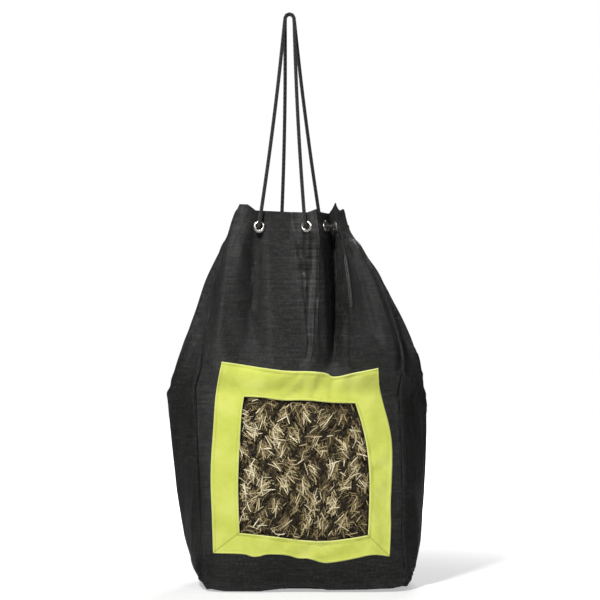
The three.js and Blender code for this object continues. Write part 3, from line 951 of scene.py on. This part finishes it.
def column_range(start, end):
    """The surface's own columns between two places, with both ends."""
    every = np.concatenate([surface.s, surface.s + GIRTH])
    inside = every[(every > start + 1e-6) & (every < end - 1e-6)]
    return np.concatenate([[start], inside, [end]])


def build_panels():
    """The outer cloth from the base to the mouth. Each gusset is two pieces, its front half and its back half.
    """
    walls = [
        ("front_panel_cloth", -FRONT_SEAM, FRONT_SEAM, ["front_panel"], "front"),
        ("right_gusset_cloth_front", FRONT_SEAM, SIDE, ["right_gusset"], "front"),
        ("right_gusset_cloth_back", SIDE, BACK_SEAM, [], "back"),
        ("back_panel_cloth", BACK_SEAM, GIRTH - BACK_SEAM, ["back_panel"], "back"),
        ("left_gusset_cloth_back", GIRTH - BACK_SEAM, GIRTH - SIDE, [], "back"),
        ("left_gusset_cloth_front", GIRTH - SIDE, GIRTH - FRONT_SEAM, ["left_gusset"], "front"),
    ]
    for name, start, end, nodes, half in walls:
        s, z = np.meshgrid(column_range(start, end), surface.z)
        keep = ~eyelet_mask(s, z)
        if name == "front_panel_cloth":
            keep &= ~window_mask(s, z)
        relief = seam_relief(s)
        finish(slab(name, s, z, relief, relief - FABRIC, keep), "fabric", "fabric", nodes, blend=half)


def build_hem():
    """The mouth's edge turned in and stitched down: an inner layer behind the cloth."""
    rows = surface.z[surface.z >= HEM_Z - 1e-6]
    bands = [("hem_front", -SIDE, SIDE, ["front_hem", "left_hem", "right_hem"], "front"),
             ("hem_back", SIDE, GIRTH - SIDE, ["back_hem"], "back")]
    for name, start, end, nodes, half in bands:
        s, z = np.meshgrid(column_range(start, end), rows)
        piece = slab(name, s, z, -FABRIC - 0.0001, -2 * FABRIC - 0.0003, ~eyelet_mask(s, z))
        finish(piece, "fabric", "fabric", nodes, blend=half)


def build_base():
    """The base panel: it spans the bottom edge and sags a little in the middle."""
    edge = surface.at(surface.s, np.zeros_like(surface.s), -0.0003)
    middle = edge.mean(axis=0)
    count = len(edge)
    shares = (0, 0.02, 0.06, 0.14, 0.26, 0.42, 0.6, 0.8)
    lower = []
    for share in shares:
        ring = edge + (middle - edge) * share
        sag = 0.0006 + 0.0012 * math.sin(share * 9) * share
        ring[:, 2] = edge[:, 2] * (1 - smooth_step(share / 0.5)) + sag
        lower.extend(ring)
    lower.append(np.array([middle[0], middle[1], 0.0008]))
    tip = len(lower) - 1
    upper_faces = tube_faces(len(shares), count)
    upper_faces += [(tip - count + i, tip - count + (i + 1) % count, tip) for i in range(count)]
    faces = [face[::-1] for face in upper_faces]
    faces += [tuple(tip + 1 + k for k in face) for face in upper_faces]
    faces += [(i, (i + 1) % count, tip + 1 + (i + 1) % count, tip + 1 + i) for i in range(count)]
    vertices = lower + [point + np.array([0, 0, FABRIC]) for point in lower]
    piece = new_object("base_cloth", vertices, faces)
    set_uv(piece, [(v[0], v[1]) for v in vertices])
    finish(piece, "fabric", "fabric", ["base_panel"])


# ------------------------------------------------------------------ stitching


def stitch(start, end, out, radius):
    """One stitch: a short lozenge that dips into the cloth at both ends."""
    along = end - start
    side = np.cross(along / np.linalg.norm(along), out)
    vertices = [start - out * radius * 0.6]
    for share in (0.25, 0.75):
        centre = start + along * share + out * radius * 0.35
        vertices.extend(centre + way * radius for way in (side, out, -side, -out))
    vertices.append(end - out * radius * 0.6)
    faces = [(0, 1, 2), (0, 2, 3), (0, 3, 4), (0, 4, 1), (9, 6, 5), (9, 7, 6), (9, 8, 7), (9, 5, 8)]
    for i in range(4):
        k = (i + 1) % 4
        faces.append((1 + i, 5 + i, 5 + k, 1 + k))
    return vertices, faces, [(0, 0)] * len(vertices)


def stitch_row(s, z, out, pitch=STITCH_PITCH, radius=STITCH_R):
    """Stitches along a line on the cloth, given as places s and heights z."""
    s, z = np.broadcast_arrays(s, z)
    run = run_along(surface.at(s, z, out))
    parts = []
    for n in range(int(run[-1] / pitch)):
        ends = [(n + 0.14) * pitch, (n + 0.86) * pitch]
        s_at, z_at = np.interp(ends, run, s), np.interp(ends, run, z)
        start, end = surface.at(s_at, z_at, out)
        normal = surface.sample(surface.out, s_at[:1], z_at[:1])[0]
        parts.append(stitch(start, end, normal, radius))
    return parts


def build_stitches():
    """Two rows up each seam, three round the hem and one round the base."""
    halves = {"front": [], "back": []}
    heights = np.linspace(0.006, MOUTH_Z - 0.004, 260)
    for seam in SEAMS:
        half = "front" if abs(seam) < SIDE else "back"
        for offset in (-STITCH_FROM_EDGE, STITCH_FROM_EDGE):
            halves[half] += stitch_row(seam + offset, heights, 0.001)
    for half, start, end in (("front", -SIDE, SIDE), ("back", SIDE, GIRTH - SIDE)):
        for height in (HEM_Z + 0.0035, HEM_Z + 0.0075, MOUTH_Z - 0.0045, 0.009):
            halves[half] += stitch_row(np.linspace(start, end, 700), height, 0.0004)
        finish(merge_parts(f"seam_stitches_{half}", halves[half]), "black_thread", "fabric", blend=half)


# ------------------------------------------------------------------ trim


def trim_relief(s, x, z, from_edge, mitre):
    """How far the trim stands off the cloth: thick at its edges, drawn in at stitches, puckered between."""
    fold = 0.0009 * (1 - smooth_step((from_edge - 0.0035) / 0.002))
    stitched = -0.0005 * np.exp(-(((from_edge - STITCH_FROM_EDGE) / 0.0012) ** 2))
    wave = s * 120 - z * 60 + 3 * np.sin(z * 31 + s * 17)
    pucker = 0.0003 * np.sin(s * 330 + z * 240) + 0.0009 * np.sin(wave)
    pucker *= smooth_step(from_edge / 0.01) * smooth_step((x + 0.12) / 0.1)
    height = 0.0016 + fold + stitched + pucker - 0.0007 * mitre
    return height * (0.35 + 0.65 * smooth_step(from_edge / 0.0011))


def trim_strip(side, mitre_groove_and_shade):
    """One strip of the frame, folded under along both edges and stitched down.

    For its first and last end, the second argument tells how deep the groove at the mitre there is and how
    much painted shade darkens it.
    """
    a, b = rounded(TRIM_OUTER[side], TRIM_ROWS, 2), rounded(TRIM_INNER[side], TRIM_ROWS, 2)
    flat = a[None] * (1 - TRIM_ACROSS[:, None, None]) + b[None] * TRIM_ACROSS[:, None, None]
    x, z = flat[..., 0], flat[..., 1]
    s = surface.front_place(x, z)
    width = np.linalg.norm(a - b, axis=1)
    from_edge = np.minimum(TRIM_ACROSS, 1 - TRIM_ACROSS)[:, None] * width
    length = run_along(a)[-1]
    from_end = np.linspace(0, length, TRIM_ROWS)
    # Near a mitre end the strip is grooved and painted darker as shade.
    first, last = [np.exp(-((away / 0.0017) ** 2)) for away in (from_end, length - from_end)]
    mitre = np.broadcast_to(first * mitre_groove_and_shade[0] + last * mitre_groove_and_shade[1], x.shape)
    piece = slab(f"lime_{side}", s, z, trim_relief(s, x, z, from_edge, mitre), 0.0006)
    if piece.data.polygons[0].normal.y > 0:
        piece.data.flip_normals()
    # A painted highlight: pale along both folded edges.
    set_attribute(piece, "edge", np.tile((1 - smooth_step(from_edge / 0.0024)).ravel(), 2))
    set_attribute(piece, "mitre", np.tile(mitre.ravel(), 2))
    finish(piece, "lime", "trim", [f"trim_{side}"], blend="front")
    rows = []
    for share in (STITCH_FROM_EDGE / width, 1 - STITCH_FROM_EDGE / width):
        line = a * (1 - share[:, None]) + b * share[:, None]
        rows += stitch_row(surface.front_place(*line.T), line[:, 1], 0.0018, 0.0042, 0.00038)
    finish(merge_parts(f"lime_{side}_stitches", rows), "lime_thread", "trim", blend="front")


def build_trim():
    plain, faint = 1, 0.15
    # How plainly each mitre shows: its groove and its painted shade.
    ends = {"bottom": (plain, plain), "right": (plain, faint), "top": (faint, faint), "left": (plain, faint)}
    for side, mitre_groove_and_shade in ends.items():
        trim_strip(side, mitre_groove_and_shade)


# ------------------------------------------------------------------ netting and hay


def in_window(x, z, margin):
    """True inside the trim's inner edges, or up to a margin outside them."""
    edges = {side: np.array(points) for side, points in TRIM_INNER.items()}
    low, high = read(edges["bottom"], x), read(edges["top"], x)
    left, right = read(edges["left"], z, 0, 1), read(edges["right"], z, 0, 1)
    return low - margin < z < high + margin and left - margin < x < right + margin


def mesh_knots():
    """Knots of the net, as x and z, with the columns staggered from row to row."""
    knots = {}
    for row in range(-6, 7):
        for column in range(-6, 7):
            wobble = random.Random(row * 31 + column)
            x = NET_ORIGIN[0] + (column + 0.5 * (row % 2)) * MESH_ACROSS + wobble.uniform(-0.0016, 0.0016)
            z = NET_ORIGIN[1] + row * MESH_UP / 2 + wobble.uniform(-0.0022, 0.0022)
            knots[(row, column)] = (x, z)
    return knots


def on_window(x, z, out):
    return surface.at(surface.front_place(x, z), z, out)


def build_net(knots):
    """The diamond netting: a knot at each crossing and two cords up from it, bowed out by the hay."""
    t = np.linspace(0, 1, 9)
    parts = []
    for (row, column), (x, z) in knots.items():
        if not in_window(x, z, 0.01):
            continue
        if in_window(x, z, 0.004):
            parts.append(knot(on_window(np.array([x]), np.array([z]), NET_DEPTH)[0]))
        for step in (0, 1):
            other = knots.get((row + 1, column + step - 1 + (row % 2)))
            if other is None:
                continue
            line_x, line_z = x + (other[0] - x) * t, z + (other[1] - z) * t
            inside = np.array([in_window(a, b, 0.009) for a, b in zip(line_x, line_z)])
            if inside.sum() < 3:
                continue
            points = on_window(line_x, line_z, NET_DEPTH + 0.0022 * np.sin(np.pi * t))[inside]
            parts.append(sweep(points, TWINE_R, sides=7))
    finish(merge_parts("netting", parts), "twine", "netting", ["window_net"], blend="front")


def knot(centre):
    """A sheet-bend knot, as a small lumpy ball of crossed cord."""
    parts = []
    for tilt in (0.6, -0.6):
        turn = Matrix.Rotation(tilt, 3, "Y")
        loop = [centre + np.array(turn @ Vector((0.0024 * math.cos(a), -0.0004 + 0.0012 * math.sin(2 * a),
                                                 0.0015 * math.sin(a)))) for a in np.linspace(0, 5.6, 12)]
        parts.append(sweep(loop, TWINE_R * 0.9, sides=6))
    return joined(parts)


def straw(middle, direction, length, width, curl, normal, tint):
    """One stalk: a bent, flattened tube of four sides."""
    side = direction.cross(normal).normalized()
    up = side.cross(direction).normalized()
    vertices = []
    for t in (-0.5, -0.25, 0.0, 0.25, 0.5):
        centre = middle + direction * (t * length) + side * (curl * t * t * length)
        centre = centre + up * (curl * 0.4 * (0.25 - t * t) * length)
        half = width * (0.5 - 0.28 * abs(t))
        for a, b in ((1, 0), (0, 0.45), (-1, 0), (0, -0.45)):
            vertices.append(centre + side * (half * a) + up * (half * b))
    faces = [(3, 2, 1, 0), (16, 17, 18, 19)] + tube_faces(5, 4)
    return vertices, faces, [tint] * len(vertices)


def straw_piece(name, stalks):
    vertices, faces, tints = joined(stalks)
    obj = new_object(name, vertices, faces, smooth=False)
    set_attribute(obj, "tint", tints)
    finish(obj, "hay", "hay")


def window_stalks(knots):
    """A tuft of stalks pushed out through each mesh of the net, and ones packed behind it, painted darker as
    shade.
    """
    rng = random.Random(41)
    stalks = []
    for x, knot_z in knots.values():
        z = knot_z + MESH_UP / 2
        if not in_window(x, z, 0.016):
            continue
        leaning = rng.choice((-0.75, -0.45, 0.2, 0.5, 0.8)) + rng.uniform(-0.2, 0.2)
        x += rng.gauss(0, 0.0022)
        z += rng.gauss(0, 0.0032)
        # Each tuft's tone varies at random, and is painted lighter towards the left as painted light.
        tone_and_painted_light = rng.uniform(0.2, 0.66) - 0.6 * x
        for kind, count in (("leaf", 60), ("stalk", 26), ("straw", rng.randrange(4, 9))):
            spread, longest, widest, lift, tint, turn = TUFT[kind]
            for _ in range(count):
                dx, dz = rng.gauss(0, 0.0066) * spread, rng.gauss(0, 0.0105) * spread
                length = rng.uniform(0.45, 1.0) * longest
                angle = leaning + rng.gauss(0, turn)
                reach_x, reach_z = [(0.5 * length + 0.001) * way(angle) for way in (math.sin, math.cos)]
                if not all(in_window(x + dx + way * reach_x, z + dz + way * reach_z, 0.0) for way in (-1, 1)):
                    continue
                crown = max(0.0, 1 - (dx / 0.015) ** 2 - (dz / 0.027) ** 2)
                out = -0.006 + 0.0105 * crown + lift + rng.uniform(-0.0015, 0.0015)
                # Stalks away from the tuft's crown, near the net's cords, are painted darker as painted shade.
                shade = tone_and_painted_light + tint + rng.gauss(0, 0.17) - 0.4 * (1 - crown)
                stalks.append((x + dx, z + dz, out, angle, rng.gauss(0, 0.14), length,
                               widest * rng.uniform(0.5, 1.0), shade))
    # Stalks packed behind the tufts get low tints: painted shade.
    for _ in range(2600):
        x, z = rng.uniform(-0.112, 0.136), rng.uniform(0.084, 0.356)
        if in_window(x, z, 0.002):
            stalks.append((x, z, rng.uniform(-0.014, -0.0055), rng.uniform(-1.6, 1.6), rng.gauss(0, 0.12),
                           rng.uniform(0.014, 0.034), rng.uniform(0.0009, 0.002), rng.uniform(-0.05, 0.34)))
    return stalks


def build_window_hay(knots):
    """The stalks of the window, laid on the cloth's own surface there."""
    rng = random.Random(7)
    drawn = window_stalks(knots)
    x, z, out = np.array(drawn)[:, :3].T
    places = surface.front_place(x, z)
    centres = surface.at(places, z, out)
    normals = surface.sample(surface.out, places, z)
    stalks = []
    for (_, _, _, angle, tip, length, width, tint), centre, normal in zip(drawn, centres, normals):
        normal = Vector(normal)
        across = Vector((1, 0, 0))
        across = (across - normal * across.dot(normal)).normalized()
        up = normal.cross(across)
        direction = (up * math.cos(angle) + across * math.sin(angle) + normal * tip).normalized()
        stalks.append(straw(Vector(centre), direction, length, width, rng.gauss(0, 0.1), normal, tint))
    straw_piece("hay_stalks_window", stalks)


def room_at(point):
    """How far from the middle a piece of hay may reach on this point's side, to stay inside the cloth."""
    row = surface.at(surface.s, np.full(len(surface.s), point[2]))
    turn = np.arctan2(row[:, 1], row[:, 0]) - math.atan2(point[1], point[0])
    near = np.abs((turn + np.pi) % (2 * np.pi) - np.pi) < 0.3
    return np.hypot(row[near, 0], row[near, 1]).min() - HAY_GAP


def build_hay_bulk():
    """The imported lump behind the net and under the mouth, domed on top."""
    across = np.arange(-SIDE, GIRTH - SIDE, 0.012)
    heights = [0.006, 0.02, 0.05] + list(np.arange(0.08, 0.402, 0.02))
    rings = [surface.at(across, np.full(len(across), z), -0.0135) for z in heights]
    rim = rings[-1]
    middle = np.array([0.0, 0.0, HAY_TOP_Z])
    for share in np.linspace(0.12, 0.94, 8):
        ring = rim + (middle - rim) * share
        ring[:, 2] = rim[:, 2] + (middle[2] - rim[:, 2]) * math.sin(share * math.pi / 2)
        for point in ring:
            point[:2] *= min(1, room_at(point) / math.hypot(point[0], point[1]))
        rings.append(ring)
    vertices = np.concatenate(rings)
    vertices += np.random.default_rng(5).normal(0, 0.0012, vertices.shape)
    vertices[:, 2] = np.maximum(vertices[:, 2], 0.0035)
    count = len(across)
    faces = tube_faces(len(rings), count)
    faces.append(tuple(range(len(vertices) - count, len(vertices))))
    faces.append(tuple(reversed(range(count))))
    finish(new_object("hay_lump", vertices, faces), "hay_bulk", "hay", ["hay_fill"])
    build_hay_top(rim, middle)


def build_hay_top(rim, middle):
    """Loose stalks lying on the dome of the lump."""
    rng = random.Random(23)
    stalks = []
    for _ in range(1500):
        share = math.sqrt(rng.random()) * 0.8
        point = middle + (rim[rng.randrange(len(rim))] - middle) * share
        height = rim[0, 2] + (middle[2] - rim[0, 2]) * math.cos(share * math.pi / 2) + rng.uniform(0, 0.014)
        direction = Vector((rng.gauss(0, 1), rng.gauss(0, 1), rng.gauss(0, 0.35))).normalized()
        place = Vector((point[0] * 0.93, point[1] * 0.9, height))
        length, width, curl = rng.uniform(0.02, 0.045), rng.uniform(0.001, 0.0024), rng.gauss(0, 0.3)
        stalk = straw(place, direction, length, width, curl, Vector((0, 0, 1)), rng.uniform(0.15, 0.85))
        if all(math.hypot(end.x, end.y) < room_at(end) for end in (stalk[0][0], stalk[0][-1])):
            stalks.append(stalk)
    straw_piece("hay_stalks_top", stalks)


# ------------------------------------------------------------------ eyelets


def lathe(profile, turn, centre, segments=40):
    """A closed profile turned about the local z axis, carried to its place."""
    vertices, faces = [], []
    count = len(profile)
    for n in range(segments):
        angle = 2 * math.pi * n / segments
        m = (n + 1) % segments
        for i, (r, h) in enumerate(profile):
            vertices.append(turn @ Vector((r * math.cos(angle), r * math.sin(angle), h)) + centre)
            k = (i + 1) % count
            faces.append((n * count + i, m * count + i, m * count + k, n * count + k))
    return vertices, faces, [(0, 0)] * len(vertices)


def build_eyelets():
    """Each eyelet: a rolled grommet outside and a pressed washer inside, as radius and height."""
    grommet = [(0.0058, -0.0043), (0.0058, 0.0008), (0.0061, 0.0017), (0.0068, 0.0024), (0.0078, 0.0027),
               (0.009, 0.0025), (0.0101, 0.0019), (0.011, 0.0011), (0.0115, 0.0004), (0.0112, 0.0001),
               (0.01, 0.0007), (0.0085, 0.0011), (0.0073, 0.0008), (0.0066, -0.0002), (0.0066, -0.0043)]
    washer = [(0.006, -0.0046), (0.0066, -0.0053), (0.0082, -0.0055), (0.01, -0.0047), (0.0114, -0.0034),
              (0.0112, -0.0031), (0.0096, -0.0037), (0.0072, -0.004)]
    for number, (centre, out) in enumerate(SEATS, 1):
        turn = out.to_track_quat("Z", "Y").to_matrix()
        parts = [lathe(profile[::-1], turn, centre) for profile in (grommet, washer)]
        piece = merge_parts(f"eyelet_ring_{number:02d}", parts)
        nodes = [f"eyelet_{number:02d}", f"eyelet_washer_{number:02d}"]
        if number in EYELETS_IN_BEND:
            finish(piece, "nickel", "eyelet", nodes, blend=EYELETS_IN_BEND[number], rigid_at=(centre, out))
        else:
            finish(piece, "nickel", "eyelet", nodes, body=EYELET_BODIES[number])


# ------------------------------------------------------------------ drawstring


def through(number, *distances):
    """Points on an eyelet's axis, at distances out from the cloth."""
    centre, out = SEATS[number - 1]
    return [np.array(centre + out * distance) for distance in distances]


def between(a, b, share, distance):
    """A point part of the way from eyelet a to eyelet b."""
    return through(a, distance)[0] * (1 - share) + through(b, distance)[0] * share


def cord_piece(node, points, spacing, **movement):
    length = run_along(points)[-1]
    piece = merge_parts(node + "_cord", [sweep(rounded(points, int(length / spacing)), CORD_R, sides=14)])
    finish(piece, "cord", "cord", [node], **movement)


def strand(start, end, bow):
    """A nearly straight run of cord from an eyelet to just short of the arch."""
    points = [start]
    for share in (0.3, 0.62, 0.86):
        point = start + (end - start) * share
        point[0] += bow * math.sin(math.pi * share)
        points.append(point)
    return points


def build_loops():
    """Each hanging loop: up from one eyelet, over the hook and down to the next."""
    middle, bend = -0.014, 0.0085
    arch_z = CAD_BOX[1][2] - CORD_R - bend
    for half, left, right, y in (("front", 1, 2, -0.0039), ("back", 8, 7, 0.0039)):
        arch = [np.array([middle - bend * math.cos(a), y, arch_z + bend * math.sin(a)])
                for a in np.linspace(0, math.pi, 9)]
        rising = strand(through(left, LOOP_OUT)[0], arch[0], 0.003)
        falling = strand(through(right, LOOP_OUT)[0], arch[-1], -0.003)[::-1]
        cord_piece(f"drawstring_{half}_loop", rising + arch + falling, 0.006, body=f"{half}_loop")


def build_lacing():
    """The cord laced in and out of the eyelets, in pieces that meet where the lips' movement begins."""
    deep = CORD_INSIDE
    front_left = [between(1, 10, 0.52, deep - 0.01)]
    back_left = [between(10, 9, 0.52, 0.01)]
    front_right = [between(4, 5, 0.4, deep - 0.006)]
    back_right = [between(5, 6, 0.5, 0.01)]
    start = (LOOP_OUT, 0.003, -0.007, deep)
    end = (deep, -0.006, 0.003, LOOP_OUT)
    runs = {
        "front_left": through(1, *start) + [between(1, 10, 0.25, deep - 0.004)] + front_left,
        "left": front_left + through(10, deep - 0.004, -0.006, 0.003, 0.0065)
                + [between(10, 9, 0.2, 0.0085)] + back_left,
        "back_left": back_left + [between(10, 9, 0.8, 0.0095)] + through(9, 0.007, 0.002, -0.007, deep)
                     + [between(9, 8, 0.5, deep - 0.004)] + through(8, *end),
        "front_right": through(2, LOOP_OUT, 0.003, -0.007, -0.012) + through(3, -0.012, -0.006, 0.002, 0.0045)
                       + through(4, 0.0045, 0.002, -0.006, deep) + front_right,
        "right": front_right + through(5, deep - 0.006, -0.006, 0.003, 0.0065)
                 + [between(5, 6, 0.2, 0.0085)] + back_right,
        "back_right": back_right + [between(5, 6, 0.8, 0.0095)] + through(6, 0.007, 0.002, -0.007, deep)
                      + [between(6, 7, 0.5, deep - 0.004)] + through(7, *end),
    }
    for place, points in runs.items():
        half = place.split("_")[0]
        movement = {"blend": half} if half in BENDS else {"body": "bag"}
        cord_piece(f"drawstring_{place}", points, 0.0026, **movement)


# ------------------------------------------------------------------ stage


def floor_material():
    """Pale and matt near the bag, glowing further out, so that it runs into the studio's white."""
    graph = Graph("pale_floor")
    away = graph.field("VectorMath", {0: graph.place()}, output="Value", operation="LENGTH")
    fade = graph.field("MapRange", {"Value": away, "From Min": 0.25, "From Max": 1.6},
                       interpolation_type="SMOOTHSTEP")
    seen = graph.field("LightPath", {}, output="Is Camera Ray")
    glow = (fade + FLOOR_GLOW) * seen
    return graph.set(colour=(0.55, 0.55, 0.55, 1), roughness=0.9, specular=0.1, glow=glow, glow_colour=WHITE)


def build_stage():
    """A pale floor in front of a white studio, which lights the bag much less than it shows."""
    corners = [(x * FLOOR_REACH, y * FLOOR_REACH, -0.0012) for x, y in ((-1, -1), (1, -1), (1, 1), (-1, 1))]
    floor = new_object("stage_floor", corners, [(0, 1, 2, 3)])
    floor.data.materials.append(floor_material())
    world = bpy.data.worlds.new("studio")
    bpy.context.scene.world = world
    world.use_nodes = True
    tree = world.node_tree
    seen = tree.nodes.new("ShaderNodeLightPath").outputs["Is Camera Ray"]
    level = tree.nodes.new("ShaderNodeMapRange")
    level.inputs["To Min"].default_value = STUDIO_GLOW
    level.inputs["To Max"].default_value = 1.0
    tree.links.new(seen, level.inputs["Value"])
    tree.links.new(level.outputs[0], tree.nodes["Background"].inputs["Strength"])
    tree.nodes["Background"].inputs["Color"].default_value = WHITE
    bpy.context.scene.view_settings.view_transform = "Standard"


def area_light(name, position, size, power):
    data = bpy.data.lights.new(name, "AREA")
    data.shape = "DISK"
    data.size = size
    data.energy = power
    obj = bpy.data.objects.new(name, data)
    obj.location = position
    obj.rotation_euler = (Vector(LIGHT_TARGET) - Vector(position)).to_track_quat("-Z", "Y").to_euler()
    bpy.context.scene.collection.objects.link(obj)


def build_lights():
    area_light("key", (-0.88, -2.32, 2.5), 0.35, 114)
    area_light("fill", (1.1, -2.6, 2.0), 0.6, 16)
    area_light("back", (0.5, 2.4, 2.1), 1.2, 48)


def build_camera():
    """A long lens at mid height, square to the front."""
    data = bpy.data.cameras.new("camera")
    data.lens = LENS
    data.sensor_width = SENSOR
    camera = bpy.data.objects.new("camera", data)
    camera.location = (0.0056, -0.06 - VIEW_WIDTH * LENS / SENSOR, 0.533)
    camera.rotation_euler = (math.pi / 2, 0, 0)
    bpy.context.scene.collection.objects.link(camera)
    bpy.context.scene.camera = camera


# ------------------------------------------------------------------ build

build_panels()
build_hem()
build_base()
build_stitches()
build_trim()
knots = mesh_knots()
build_net(knots)
build_window_hay(knots)
build_hay_bulk()
build_eyelets()
build_loops()
build_lacing()
build_stage()
build_lights()
build_camera()
